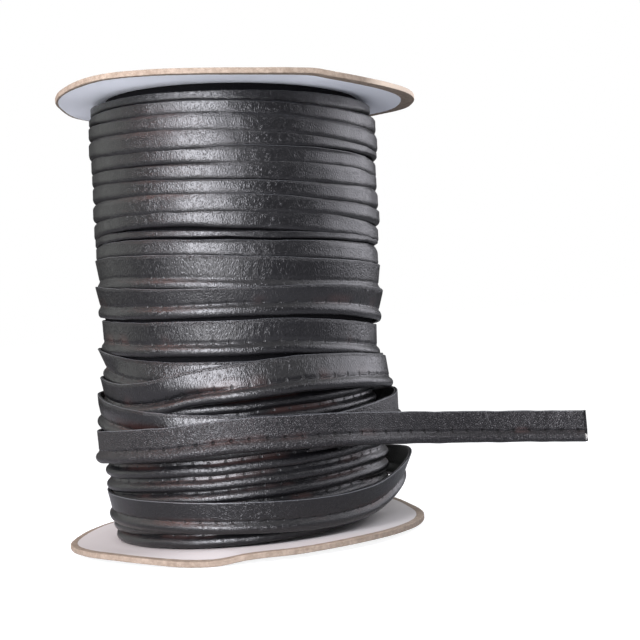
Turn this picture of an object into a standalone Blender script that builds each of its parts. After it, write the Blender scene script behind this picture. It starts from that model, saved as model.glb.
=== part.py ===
"""A card reel wound with faux leather edging tape, with one loose end.

Frame: +Z up, the origin in the middle of the lower card, on the floor.
-Y is the front and azimuths are counted from it, positive towards +X.
Sizes are in metres; the short tables are in millimetres and carry MM.
"""
import math

import bpy
import bmesh
import numpy as np

MM = 0.001
GAP = 0.3 * MM

# The two card discs
CARD_RADIUS = 70.0 * MM
CARD_THICKNESS = 2.0 * MM
CARD_SEGMENTS = 48
CARD_RING_SHARES = (0.32, 0.54, 0.66, 0.77, 0.88, 0.95, 1.0)

# Lower card: flat in the middle, then dished up to a plateau, then its own rim
LOWER_RADIUS = 69.3 * MM
LOWER_CENTRE_X = 0.7 * MM
LOWER_FLAT_RADIUS = 38.0 * MM
LOWER_PLATEAU_RADIUS = 54.0 * MM
LOWER_PLATEAU_RISE = 1.7 * MM
LOWER_RIM_COLUMNS = (-150, -105, -58, -40, -26, -14, -5, 4, 30, 60, 90, 120, 150)
LOWER_RIM_RISE_MM = (2.6, 1.7, 2.4, 2.3, 1.2, 0.3, 0.3, 1.6, 2.0, 1.9, 1.5, 4.0, 3.4)

# Upper card: it leans with the winding and is tilted down to the right
UPPER_CENTRE_X = 9.2 * MM
UPPER_HEIGHT = 169.76 * MM
UPPER_TILT_X = -math.tan(math.radians(3.63))
UPPER_TILT_Y = -math.tan(math.radians(0.42))
UPPER_FLAT_RADIUS = 52.0 * MM
UPPER_RIM_COLUMNS = (-150, -112, -92, -62, -40, -22, 2, 20, 32, 48, 66, 88, 108, 126, 155)
UPPER_RIM_RISE_MM = (-0.2, -1.2, -0.3, 0.2, 1.0, 0.4, -0.4, 0.1, -0.2, -0.9, -0.7, 0.4, 0.3, 1.3, 0.6)

# The winding leans a little to the right as it rises
AXIS_FOOT_X = 1.15 * MM
AXIS_LEAN = 0.0381

# Tape: two layers stitched together, with a filled cord along the lower edge
TAPE_HEIGHT = 12.4 * MM
TAPE_LIP_HALF = 0.65 * MM
TAPE_CORD_HALF = 1.6 * MM

# Winding: height of each turn's upper edge, read round the front, in millimetres
TURN_COLUMNS = (-120, -75, -45, -15, 15, 45, 75, 120)
LIP, CORD = "lip over the turn above", "cord standing out"
TURNS = (
    # kind, radius, heights at the azimuths of TURN_COLUMNS
    (LIP, 53.0, (170.7, 171.4, 170.7, 169.3, 167.6, 165.9, 164.9, 164.6)),
    (LIP, 55.4, (163.4, 163.0, 162.7, 164.8, 163.0, 160.6, 159.8, 159.2)),
    (LIP, 55.8, (158.7, 158.0, 156.4, 154.0, 151.3, 148.5, 147.2, 146.4)),
    (LIP, 55.2, (145.5, 145.0, 144.2, 142.1, 145.6, 144.2, 143.1, 142.3)),
    (LIP, 55.2, (141.6, 141.0, 139.0, 136.2, 133.8, 132.4, 132.3, 130.4)),
    (LIP, 55.4, (128.2, 126.9, 126.7, 125.8, 128.4, 126.0, 125.0, 124.2)),
    (LIP, 55.0, (122.9, 122.0, 120.1, 118.7, 123.0, 120.9, 119.2, 118.9)),
    (LIP, 54.8, (118.7, 118.2, 116.4, 114.4, 112.3, 111.3, 110.9, 110.8)),
    (LIP, 55.0, (110.9, 110.8, 109.9, 107.9, 105.5, 103.9, 102.9, 102.8)),
    (LIP, 55.0, (102.8, 102.2, 99.7, 97.4, 96.0, 95.5, 94.4, 92.4)),
    (LIP, 55.0, (90.6, 89.9, 88.4, 86.8, 87.6, 88.5, 87.9, 88.5)),
    (LIP, 55.2, (89.0, 88.5, 87.0, 85.5, 84.4, 82.1, 79.7, 79.0)),
    (LIP, 55.0, (78.4, 77.7, 73.1, 70.9, 71.0, 70.7, 68.9, 68.2)),
    (LIP, 55.2, (67.6, 66.9, 64.6, 68.0, 70.1, 69.7, 67.4, 65.0)),
    (LIP, 54.8, (61.8, 60.2, 55.5, 51.9, 49.7, 48.8, 48.2, 46.4)),
    (CORD, 54.4, (44.6, 43.5, 42.8, 42.0, 41.5, 41.0, 40.5, 39.4)),
    (CORD, 55.0, (37.6, 36.6, 36.0, 35.2, 35.0, 35.2, 35.4, 33.6)),
    (CORD, 55.0, (31.8, 31.0, 30.4, 29.6, 29.6, 29.8, 30.0, 28.2)),
    (CORD, 52.9, (26.4, 25.6, 24.9, 24.1, 23.9, 24.0, 24.2, 22.8)),
    (CORD, 51.2, (21.2, 20.4, 19.6, 18.8, 18.0, 17.4, 17.2, 16.4)),
    (CORD, 49.2, (15.0, 14.2, 13.6, 12.8, 12.2, 11.8, 11.8, 11.2)),
    (CORD, 50.4, (10.2, 9.7, 9.2, 8.6, 8.2, 8.0, 8.0, 7.6)),
)
TURN_START_MM = 167.9
TURN_STEPS = 48
# Down a turn: full drop from its edge in millimetres, share of the visible drop,
# and the radial offset in millimetres for a narrow and for a fully visible turn
LIP_PROFILE = ((0.0, 0.0, 0.6, 0.6), (8.0, 0.80, -0.6, -0.6), (10.2, 0.86, -0.8, 0.2),
               (12.2, 0.92, -1.0, -1.0), (99.0, 0.97, -1.3, -3.0))
CORD_PROFILE = ((0.0, 0.0, -1.4, -1.4), (99.0, 0.25, -1.0, -1.0), (99.0, 0.52, 0.1, 0.1),
                (99.0, 0.80, -0.3, -0.3), (99.0, 0.97, -1.3, -1.3))
NARROW_DROP_MM, FULL_DROP_MM = 8.0, 12.0
WINDING_TOP_RADIUS = 50.0 * MM
WINDING_FOOT_RADIUS = 48.0 * MM
WINDING_FOOT_RINGS_MM = (48.0, 44.0, 38.0)

# Slack turn near the foot: azimuth, radius to the tape's middle, upper edge, outward lean
SLACK_COLUMNS = ("azimuth", "radius", "edge height", "top-to-bottom lean")
SLACK_TURN = (
    (-180, 56.4, 25.4, 2.4),
    (-150, 55.8, 24.4, 2.4),
    (-120, 55.0, 23.8, 2.4),
    (-75, 54.4, 23.2, 2.4),
    (-45, 54.4, 22.0, 2.4),
    (-15, 54.4, 20.7, 2.4),
    (15, 54.6, 19.2, 2.4),
    (40, 56.2, 18.7, 2.8),
    (58, 59.4, 20.3, 3.6),
    (74, 62.6, 24.4, 4.6),
    (90, 64.4, 27.8, 5.2),
    (108, 64.4, 29.6, 5.0),
    (128, 61.6, 29.4, 4.2),
    (150, 57.8, 27.4, 3.2),
)
SLACK_STEPS = 64

# Loose end: it comes off the winding on the right, goes round the back and across the front
LOOSE_WOUND_COLUMNS = ("azimuth", "radius to the middle", "edge height")
LOOSE_WOUND = (
    (62, 57.9, 50.4),
    (76, 59.2, 51.7),
    (90, 59.6, 53.2),
    (108, 59.2, 54.2),
    (128, 58.2, 53.6),
    (150, 57.6, 52.0),
    (180, 57.4, 49.6),
    (230, 57.4, 47.4),
    (285, 57.4, 46.8),
    (300, 57.4, 47.3),
    (315, 57.4, 47.9),
    (330, 57.4, 48.5),
    (345, 57.4, 49.2),
    (360, 57.4, 49.8),
    (374, 57.4, 49.5),
    (386, 57.6, 49.0),
)
LOOSE_FREE_COLUMNS = ("x", "y", "edge height")
LOOSE_FREE = (
    (39.6, -45.2, 48.2),
    (50.5, -35.0, 46.8),
    (61.0, -25.6, 45.6),
    (72.0, -17.6, 44.4),
    (84.0, -11.6, 43.2),
    (97.0, -7.6, 42.0),
    (111.0, -5.2, 40.8),
    (124.0, -4.2, 39.8),
    (136.5, -4.6, 38.9),
)
LOOSE_STEPS = 72

# Cross-section of the tape: offset across it and drop from the upper edge, in millimetres
TAPE_SECTION_MM = ((0.65, 0.0), (0.65, 7.4), (1.6, 9.2), (1.5, 11.6), (0.5, 12.4),
                   (-0.5, 12.4), (-1.5, 11.6), (-1.6, 9.2), (-0.65, 7.4), (-0.65, 0.0))

TAPE_COLOUR = (0.018, 0.018, 0.020, 1.0)
CARD_COLOUR = (0.50, 0.36, 0.24, 1.0)


def clear_scene():
    """Removes whatever the file held before."""
    for found in list(bpy.data.objects):
        bpy.data.objects.remove(found, do_unlink=True)


def make_material(name, colour, roughness):
    """Gives a plain Principled material."""
    material = bpy.data.materials.new(name)
    material.use_nodes = True
    shader = material.node_tree.nodes["Principled BSDF"]
    shader.inputs["Base Color"].default_value = colour
    shader.inputs["Roughness"].default_value = roughness
    shader.inputs["Metallic"].default_value = 0.0
    return material


def add_object(name, points, faces, material, sharp_degrees=35.0):
    """Makes one closed, outward-facing object from its points and faces."""
    mesh = bpy.data.meshes.new(name)
    mesh.from_pydata([tuple(point) for point in points], [], faces)
    work = bmesh.new()
    work.from_mesh(mesh)
    bmesh.ops.triangulate(work, faces=work.faces[:])
    bmesh.ops.recalc_face_normals(work, faces=work.faces[:])
    work.to_mesh(mesh)
    work.free()
    mesh.shade_smooth()
    mesh.set_sharp_from_angle(angle=math.radians(sharp_degrees))
    mesh.materials.append(material)
    made = bpy.data.objects.new(name, mesh)
    bpy.context.collection.objects.link(made)
    return made


def smooth_step(value, start, end):
    """Rises smoothly from 0 at start to 1 at end."""
    share = np.clip((value - start) / (end - start), 0.0, 1.0)
    return share * share * (3.0 - 2.0 * share)


def through(knots, values, wanted):
    """Reads a smooth curve through the knots, with slopes taken from the neighbours."""
    knots = np.asarray(knots, float)
    values = np.asarray(values, float)
    slopes = np.gradient(values, knots)
    index = np.clip(np.searchsorted(knots, wanted) - 1, 0, len(knots) - 2)
    span = knots[index + 1] - knots[index]
    share = (np.asarray(wanted, float) - knots[index]) / span
    rise = values[index + 1] - values[index]
    square, cube = share ** 2, share ** 3
    return (values[index] + rise * (3 * square - 2 * cube)
            + slopes[index] * span * (cube - 2 * square + share)
            + slopes[index + 1] * span * (cube - square))


def round_the_rim(columns, rises_mm, azimuth):
    """Reads a rim's rise at an azimuth in degrees, closed round the circle."""
    knots = [column - 360 for column in columns] + list(columns) + [column + 360 for column in columns]
    return through(knots, list(rises_mm) * 3, azimuth) * MM


def lower_card_under(radius, azimuth):
    """Height of the lower card's underside."""
    dish = LOWER_PLATEAU_RISE * smooth_step(radius, LOWER_FLAT_RADIUS, LOWER_PLATEAU_RADIUS)
    rim = round_the_rim(LOWER_RIM_COLUMNS, LOWER_RIM_RISE_MM, azimuth) - LOWER_PLATEAU_RISE
    return dish + rim * smooth_step(radius, LOWER_PLATEAU_RADIUS, LOWER_RADIUS)


def upper_card_under(x, y, azimuth, radius):
    """Height of the upper card's underside, at x and y from its own middle."""
    rim = round_the_rim(UPPER_RIM_COLUMNS, UPPER_RIM_RISE_MM, azimuth)
    return (UPPER_HEIGHT + UPPER_TILT_X * x + UPPER_TILT_Y * y
            + rim * smooth_step(radius, UPPER_FLAT_RADIUS, CARD_RADIUS))


def card_disc(name, centre_x, card_radius, underside, material):
    """A round card of even thickness whose underside follows a function of place."""
    azimuths = np.arange(CARD_SEGMENTS) * 360.0 / CARD_SEGMENTS - 180.0
    turned = np.radians(azimuths)
    points = []
    for lift in (0.0, CARD_THICKNESS):
        points.append((centre_x, 0.0, float(underside(0.0, 0.0, 0.0, 0.0)) + lift))
        for share in CARD_RING_SHARES:
            radius = share * card_radius
            x, y = radius * np.sin(turned), -radius * np.cos(turned)
            z = underside(x, y, azimuths, radius) + lift
            points.extend(zip(x + centre_x, y, z))
    per_side = 1 + len(CARD_RING_SHARES) * CARD_SEGMENTS
    faces = []
    for side in (0, 1):
        base = side * per_side
        for step in range(CARD_SEGMENTS):
            after = (step + 1) % CARD_SEGMENTS
            faces.append((base, base + 1 + step, base + 1 + after))
            for ring in range(len(CARD_RING_SHARES) - 1):
                inner = base + 1 + ring * CARD_SEGMENTS
                outer = inner + CARD_SEGMENTS
                faces.append((inner + step, outer + step, outer + after, inner + after))
    rim = 1 + (len(CARD_RING_SHARES) - 1) * CARD_SEGMENTS
    for step in range(CARD_SEGMENTS):
        after = (step + 1) % CARD_SEGMENTS
        faces.append((rim + step, rim + after, per_side + rim + after, per_side + rim + step))
    return add_object(name, points, faces, material)


def lower_card(material):
    """The card that stands on the floor."""
    def underside(x, y, azimuth, radius):
        return lower_card_under(radius, azimuth) + 0.0 * x
    return card_disc("flange_bottom", LOWER_CENTRE_X, LOWER_RADIUS, underside, material)


def upper_card(material):
    """The card on top of the winding."""
    return card_disc("flange_top", UPPER_CENTRE_X, CARD_RADIUS, upper_card_under, material)


def turn_edges():
    """Height of the helix of upper edges, one row of steps for each turn and one more."""
    knots, heights = [-180.0], [TURN_START_MM]
    for number, (_, _, row) in enumerate(TURNS):
        for column, height in zip(TURN_COLUMNS, row):
            knots.append(number * 360.0 + column)
            heights.append(height)
    last = TURNS[-1][2]
    drop = 3.0
    for column, height in zip(TURN_COLUMNS, last):
        knots.append(len(TURNS) * 360.0 + column)
        heights.append(height - drop)
    wanted = -180.0 + np.arange((len(TURNS) + 1) * TURN_STEPS + 1) * 360.0 / TURN_STEPS
    wanted = np.clip(wanted, knots[0], knots[-1])
    return through(knots, heights, wanted)


def winding(material):
    """All the wound turns as one solid: a strip that goes round as a helix, closed at both ends."""
    edges = turn_edges()
    steps = len(TURNS) * TURN_STEPS
    turned = np.radians(-180.0 + np.arange(steps + 1) * 360.0 / TURN_STEPS)
    number = np.minimum(np.arange(steps + 1) // TURN_STEPS, len(TURNS) - 1)
    drop = edges[:steps + 1] - edges[TURN_STEPS:TURN_STEPS + steps + 1]
    fullness = np.clip((drop - NARROW_DROP_MM) / (FULL_DROP_MM - NARROW_DROP_MM), 0.0, 1.0)
    knots = [360.0 * turn for turn in range(len(TURNS))]
    radii = through(knots, [row[1] for row in TURNS], np.clip(np.degrees(turned), knots[0], knots[-1]))
    rows = []
    is_lip = np.array([TURNS[turn][0] == LIP for turn in number])
    for lip, cord in zip(LIP_PROFILE, CORD_PROFILE):
        full = np.where(is_lip, lip[0], cord[0])
        share = np.where(is_lip, lip[1], cord[1])
        narrow = np.where(is_lip, lip[2], cord[2])
        wide = np.where(is_lip, lip[3], cord[3])
        height = edges[:steps + 1] - np.minimum(full, share * drop)
        radius = radii + narrow + (wide - narrow) * fullness
        lean = AXIS_FOOT_X + AXIS_LEAN * height * MM
        x = radius * MM * np.sin(turned) + lean
        rows.append(np.stack([x, -radius * MM * np.cos(turned), height * MM], axis=1))
    deep = len(rows)
    points = np.stack(rows, axis=1).reshape(-1, 3)
    point_count = len(points)

    ring = np.radians(-180.0 + np.arange(TURN_STEPS) * 360.0 / TURN_STEPS)
    lean_top = AXIS_FOOT_X + AXIS_LEAN * UPPER_HEIGHT
    top_x = WINDING_TOP_RADIUS * np.sin(ring) + lean_top
    top_y = -WINDING_TOP_RADIUS * np.cos(ring)
    seat = UPPER_HEIGHT - GAP
    top_z = seat + UPPER_TILT_X * (top_x - UPPER_CENTRE_X) + UPPER_TILT_Y * top_y
    extra = [np.stack([top_x, top_y, top_z], axis=1)]
    middle = seat + UPPER_TILT_X * (lean_top - UPPER_CENTRE_X)
    extra.append(np.array([[lean_top, 0.0, middle]]))
    for radius_mm in WINDING_FOOT_RINGS_MM:
        radius = radius_mm * MM
        foot = lower_card_under(radius, np.degrees(ring)) + CARD_THICKNESS + GAP
        extra.append(np.stack([radius * np.sin(ring) + AXIS_FOOT_X, -radius * np.cos(ring),
                               foot + 0.0 * ring], axis=1))
    extra.append(np.array([[AXIS_FOOT_X, 0.0, CARD_THICKNESS + GAP]]))
    points = np.concatenate([points] + extra)

    top_ring = point_count
    top_middle = top_ring + TURN_STEPS
    foot_ring = top_middle + 1
    foot_middle = foot_ring + len(WINDING_FOOT_RINGS_MM) * TURN_STEPS

    def place(step, down):
        return step * deep + down

    faces = []
    for step in range(steps):
        for down in range(deep - 1):
            faces.append((place(step, down), place(step, down + 1),
                          place(step + 1, down + 1), place(step + 1, down)))
    for step in range(steps - TURN_STEPS):
        faces.append((place(step, deep - 1), place(step + TURN_STEPS, 0),
                      place(step + 1 + TURN_STEPS, 0), place(step + 1, deep - 1)))
    for step in range(TURN_STEPS):
        after = (step + 1) % TURN_STEPS
        faces.append((top_ring + step, place(step, 0), place(step + 1, 0), top_ring + after))
        faces.append((top_middle, top_ring + step, top_ring + after))
        low = steps - TURN_STEPS + step
        faces.append((place(low, deep - 1), foot_ring + step, foot_ring + after,
                      place(low + 1, deep - 1)))
        for ring_number in range(len(WINDING_FOOT_RINGS_MM) - 1):
            outer = foot_ring + ring_number * TURN_STEPS
            inner = outer + TURN_STEPS
            faces.append((outer + step, inner + step, inner + after, outer + after))
        innermost = foot_ring + (len(WINDING_FOOT_RINGS_MM) - 1) * TURN_STEPS
        faces.append((foot_middle, innermost + after, innermost + step))
    start = [top_ring] + [place(0, down) for down in range(deep)] + [place(TURN_STEPS, 0)]
    faces.append(tuple(start))
    finish = [place(steps - TURN_STEPS, deep - 1)] + [place(steps, down) for down in range(deep)]
    faces.append(tuple(finish + [foot_ring]))
    return add_object("winding", points, faces, material)


def tape_along(name, middle, across, edge, lean, closed, material):
    """Carries the tape's section along a path.

    middle: path in plan; across: unit outward directions; edge: height of the upper edge;
    lean: how far the upper edge stands out beyond the lower one, all for each station.
    """
    stations = len(middle)
    count = len(TAPE_SECTION_MM)
    points = []
    for (offset_mm, drop_mm) in TAPE_SECTION_MM:
        drop = drop_mm * MM
        out = offset_mm * MM - lean * drop / TAPE_HEIGHT
        plan = middle + across * out[:, None]
        points.append(np.column_stack([plan, edge - drop]))
    points = np.stack(points, axis=1).reshape(-1, 3)
    faces = []
    for station in range(stations if closed else stations - 1):
        ahead = (station + 1) % stations
        for corner in range(count):
            beside = (corner + 1) % count
            faces.append((station * count + corner, station * count + beside,
                          ahead * count + beside, ahead * count + corner))
    if not closed:
        last = (stations - 1) * count
        faces.append(tuple(range(count)))
        faces.append(tuple(last + corner for corner in range(count)))
    return add_object(name, points, faces, material)


def slack_turn(material):
    """One turn near the foot that stands off the winding on the right."""
    table = np.array(SLACK_TURN)
    azimuths = -180.0 + np.arange(SLACK_STEPS) * 360.0 / SLACK_STEPS
    knots = np.concatenate([table[:, 0] - 360.0, table[:, 0], table[:, 0] + 360.0])
    radius, edge, lean = (through(knots, np.tile(table[:, column], 3), azimuths) * MM
                          for column in (1, 2, 3))
    turned = np.radians(azimuths)
    across = np.column_stack([np.sin(turned), -np.cos(turned)])
    middle = across * radius[:, None]
    middle[:, 0] += AXIS_FOOT_X + AXIS_LEAN * (edge - TAPE_HEIGHT / 2)
    return tape_along("slack_turn", middle, across, edge, lean, True, material)


def loose_end(material):
    """The last turn of tape, off the winding on the right, with its free end."""
    wound = np.array(LOOSE_WOUND)
    free = np.array(LOOSE_FREE)
    turned = np.radians(wound[:, 0])
    lean_x = AXIS_FOOT_X / MM + AXIS_LEAN * (wound[:, 2] - TAPE_HEIGHT / MM / 2)
    knots_x = np.concatenate([wound[:, 1] * np.sin(turned) + lean_x, free[:, 0]])
    knots_y = np.concatenate([-wound[:, 1] * np.cos(turned), free[:, 1]])
    knots_edge = np.concatenate([wound[:, 2], free[:, 2]])
    spans = np.hypot(np.diff(knots_x), np.diff(knots_y))
    along = np.concatenate([[0.0], np.cumsum(spans)])
    stations = np.linspace(0.0, along[-1], LOOSE_STEPS)
    x, y, edge = (through(along, knots, stations) * MM for knots in (knots_x, knots_y, knots_edge))
    heading = np.column_stack([np.gradient(x), np.gradient(y)])
    heading /= np.linalg.norm(heading, axis=1)[:, None]
    across = np.column_stack([heading[:, 1], -heading[:, 0]])
    middle = np.column_stack([x, y])
    lean = np.zeros(LOOSE_STEPS)
    return tape_along("loose_end", middle, across, edge, lean, False, material)


def main():
    """Builds the reel."""
    clear_scene()
    lower_card(make_material("card_lower", CARD_COLOUR, 0.85))
    upper_card(make_material("card_upper", CARD_COLOUR, 0.85))
    winding(make_material("tape_wound", TAPE_COLOUR, 0.45))
    slack_turn(make_material("tape_slack", TAPE_COLOUR, 0.45))
    loose_end(make_material("tape_loose", TAPE_COLOUR, 0.45))


main()
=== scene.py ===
"""Looks of a card reel wound with faux leather edging tape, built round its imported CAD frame.

Azimuths are in degrees from the front (-Y), positive towards +X. Tables and the tape's sizes
are in millimetres; the cards' other sizes and the studio's are in metres.
"""
from __future__ import annotations

import logging
import math
from collections.abc import Callable
from dataclasses import dataclass
from enum import Enum

import bpy
import numpy as np
from mathutils import Matrix

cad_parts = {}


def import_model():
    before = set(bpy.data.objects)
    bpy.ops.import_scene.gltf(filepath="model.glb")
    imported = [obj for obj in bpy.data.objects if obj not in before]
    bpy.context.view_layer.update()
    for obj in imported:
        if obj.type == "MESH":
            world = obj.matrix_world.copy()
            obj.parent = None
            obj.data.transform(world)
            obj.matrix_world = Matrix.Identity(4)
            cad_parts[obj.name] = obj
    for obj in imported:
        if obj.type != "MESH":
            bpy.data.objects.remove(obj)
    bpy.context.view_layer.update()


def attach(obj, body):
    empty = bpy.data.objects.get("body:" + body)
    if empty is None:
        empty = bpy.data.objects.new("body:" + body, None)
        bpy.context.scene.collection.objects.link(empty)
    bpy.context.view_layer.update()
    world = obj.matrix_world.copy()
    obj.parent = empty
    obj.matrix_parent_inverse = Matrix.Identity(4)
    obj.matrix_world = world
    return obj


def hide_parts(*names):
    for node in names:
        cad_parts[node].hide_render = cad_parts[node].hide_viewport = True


Array = np.ndarray
Material = bpy.types.Material
Object = bpy.types.Object
MM = 0.001
# The tape's map is in tenths of a metre
MAP_PER_MM = 0.01
LOG = logging.getLogger("reel")


class Slot(Enum):
    """Names of material slots."""

    TAPE = "tape"
    CARD = "card"


# The winding's axis and the tape's sizes


@dataclass(frozen=True)
class Axis:
    """The winding leans a little to the right as it rises."""

    foot_x: float = 1.15
    lean: float = 0.0381

    def place(self, azimuth: Array, radius: Array, height: Array) -> Array:
        """Turns azimuth, radius and height, in millimetres, into places in metres."""
        azimuth, radius, height = np.broadcast_arrays(azimuth, radius, height)
        turned = np.radians(azimuth)
        x = radius * np.sin(turned) + self.foot_x + self.lean * height
        return np.stack([x, -radius * np.cos(turned), height], axis=-1) * MM


@dataclass(frozen=True)
class Tape:
    """Folded tape: a flat lip of two layers, a stitch line and a filled cord below it."""

    layer: float = 0.65
    cord_radius: float = 2.0
    neck: float = 0.7
    stitch_pitch: float = 6.4
    stitch_drop: float = 7.6


AXIS = Axis()
TAPE = Tape()


# Curves and ripples


def smooth_step(value: Array, start: float, end: float) -> Array:
    """Rises smoothly from 0 at start to 1 at end: 3t^2 - 2t^3."""
    share = np.clip((value - start) / (end - start), 0.0, 1.0)
    return share * share * (3.0 - 2.0 * share)


def through(knots: Array, values: Array, wanted: Array) -> Array:
    """Reads a cubic through the knots, each slope being that of its neighbours.

    Args:
        knots: rising places.
        values: the curve's value at each knot.
        wanted: places to read.

    Returns:
        The curve's values at the wanted places.
    """
    knots = np.asarray(knots, float)
    values = np.asarray(values, float)
    wanted = np.clip(np.asarray(wanted, float), knots[0], knots[-1])
    slopes = np.gradient(values, knots)
    index = np.clip(np.searchsorted(knots, wanted) - 1, 0, len(knots) - 2)
    span = knots[index + 1] - knots[index]
    share = (wanted - knots[index]) / span
    rise = values[index + 1] - values[index]
    square, cube = share ** 2, share ** 3
    return (values[index] + rise * (3 * square - 2 * cube)
            + slopes[index] * span * (cube - 2 * square + share)
            + slopes[index + 1] * span * (cube - square))


def within_turn(azimuth: Array) -> Array:
    """The same azimuth, from -180 to 180."""
    return (np.asarray(azimuth, float) + 180.0) % 360.0 - 180.0


def round_circle(columns: tuple, values: tuple, azimuth: Array) -> Array:
    """Reads a curve that is closed round the circle, at azimuths in degrees."""
    knots = np.concatenate([np.array(columns) - 360.0, columns, np.array(columns) + 360.0])
    return through(knots, np.tile(values, 3), within_turn(azimuth))


def arc_length(azimuth: Array, radius: float) -> Array:
    """Way round a circle of the radius, from azimuth 0."""
    return azimuth / 360.0 * 2.0 * math.pi * radius


def ripple(place: Array, wave: float, seed: float) -> Array:
    """Uneven wave of about unit height: three sines whose lengths don't divide each other."""
    turn = 2.0 * math.pi * place / wave
    return (np.sin(turn + seed) + 0.6 * np.sin(1.618 * turn + 2.3 * seed)
            + 0.4 * np.sin(2.732 * turn + 4.1 * seed)) / 1.4


def wavy(values: Array, place: Array, waves: tuple) -> Array:
    """Adds uneven waves, each a row of its height, its length and its seed."""
    for height, wave, seed in waves:
        values = values + height * ripple(place, wave, seed)
    return values


def blur(rows: Array, reach: int) -> Array:
    """Averages along the first axis with a bell-shaped window that keeps the ends."""
    offsets = np.arange(-reach, reach + 1)
    weights = np.exp(-0.5 * (offsets / (0.5 * reach)) ** 2)
    weights /= weights.sum()
    index = np.clip(np.arange(len(rows))[:, None] + offsets, 0, len(rows) - 1)
    return np.tensordot(weights, rows[index], axes=([0], [1]))


def go_over(early: Array, late: Array, share: Array) -> Array:
    """Early values, which may end first, that turn into late ones as the share rises to 1."""
    padded = np.append(early, np.zeros(len(late)))[:len(late)]
    return padded * (1.0 - share) + late * share


# Meshes


def mesh_from(name: str, points: Array, faces: Array, material: Material, sharp_degrees: float,
              corners_uv: Array | None = None) -> Object:
    """Puts whole arrays into one mesh object at the origin.

    Args:
        name: the object's name.
        points: places in metres, one row each.
        faces: four point numbers a row; a triangle repeats its last number.
        material: the one material.
        sharp_degrees: edges that turn more than this stay sharp.
        corners_uv: the map's place of each corner of each face, where the piece has a map.

    Returns:
        The linked object.
    """
    if corners_uv is None:
        corners_uv = np.zeros(faces.shape + (2,))
    triangle = faces[:, 2] == faces[:, 3]
    kept = np.ones(faces.shape, bool)
    kept[triangle, 3] = False
    loops = faces[kept]
    totals = np.where(triangle, 3, 4)
    starts = np.concatenate([[0], np.cumsum(totals)[:-1]])
    mesh = bpy.data.meshes.new(name)
    mesh.vertices.add(len(points))
    mesh.vertices.foreach_set("co", np.ascontiguousarray(points, np.float32).ravel())
    mesh.loops.add(len(loops))
    mesh.loops.foreach_set("vertex_index", loops.astype(np.int32))
    mesh.polygons.add(len(faces))
    mesh.polygons.foreach_set("loop_start", starts.astype(np.int32))
    mesh.polygons.foreach_set("loop_total", totals.astype(np.int32))
    mesh.update(calc_edges=True)
    layer = mesh.uv_layers.new(name="tape_map")
    layer.uv.foreach_set("vector", np.ascontiguousarray(corners_uv[kept], np.float32).ravel())
    mesh.validate()
    mesh.shade_smooth()
    mesh.set_sharp_from_angle(angle=math.radians(sharp_degrees))
    mesh.materials.append(material)
    made = bpy.data.objects.new(name, mesh)
    bpy.context.collection.objects.link(made)
    return made


def grid_faces(rows: int, columns: int, wrap: bool) -> Array:
    """Four corner numbers for each cell of a grid, closed round its columns if it wraps."""
    row = np.arange(rows - 1)[:, None]
    column = np.arange(columns if wrap else columns - 1)
    beside = (column + 1) % columns
    cells = np.stack([row * columns + column, row * columns + beside,
                      (row + 1) * columns + beside, (row + 1) * columns + column], axis=-1)
    return cells.reshape(-1, 4)


def outward(points: Array, faces: Array) -> bool:
    """True where a closed surface encloses a positive volume, so that its faces point out."""
    a, b, c, d = (points[faces[:, corner]] for corner in range(4))
    volume = np.einsum("ij,ij->i", a, np.cross(b, c)) + np.einsum("ij,ij->i", a, np.cross(c, d))
    return float(volume.sum()) > 0.0


def stacked_rings(rings: Array, poles: Array) -> tuple[Array, Array]:
    """Skins a stack of rings and closes it by a fan to a pole at each end.

    Args:
        rings: places, rings by points by three.
        poles: two places, one beyond the first ring and one beyond the last.

    Returns:
        The points, poles last, and the faces, which point outwards.
    """
    rows, columns = rings.shape[:2]
    points = np.concatenate([rings.reshape(-1, 3), poles])
    ring = np.arange(columns)
    beside = (ring + 1) % columns
    last = (rows - 1) * columns
    low_pole = 0 * ring + rows * columns
    high_pole = low_pole + 1
    floor = np.stack([beside, ring, low_pole, low_pole], axis=1)
    roof = np.stack([last + ring, last + beside, high_pole, high_pole], axis=1)
    faces = np.concatenate([grid_faces(rows, columns, True), floor, roof])
    if not outward(points - points.mean(axis=0), faces):
        closed = (faces[:, 2] == faces[:, 3])[:, None]
        faces = np.where(closed, faces[:, [1, 0, 2, 2]], faces[:, ::-1])
    return points, faces


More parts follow.
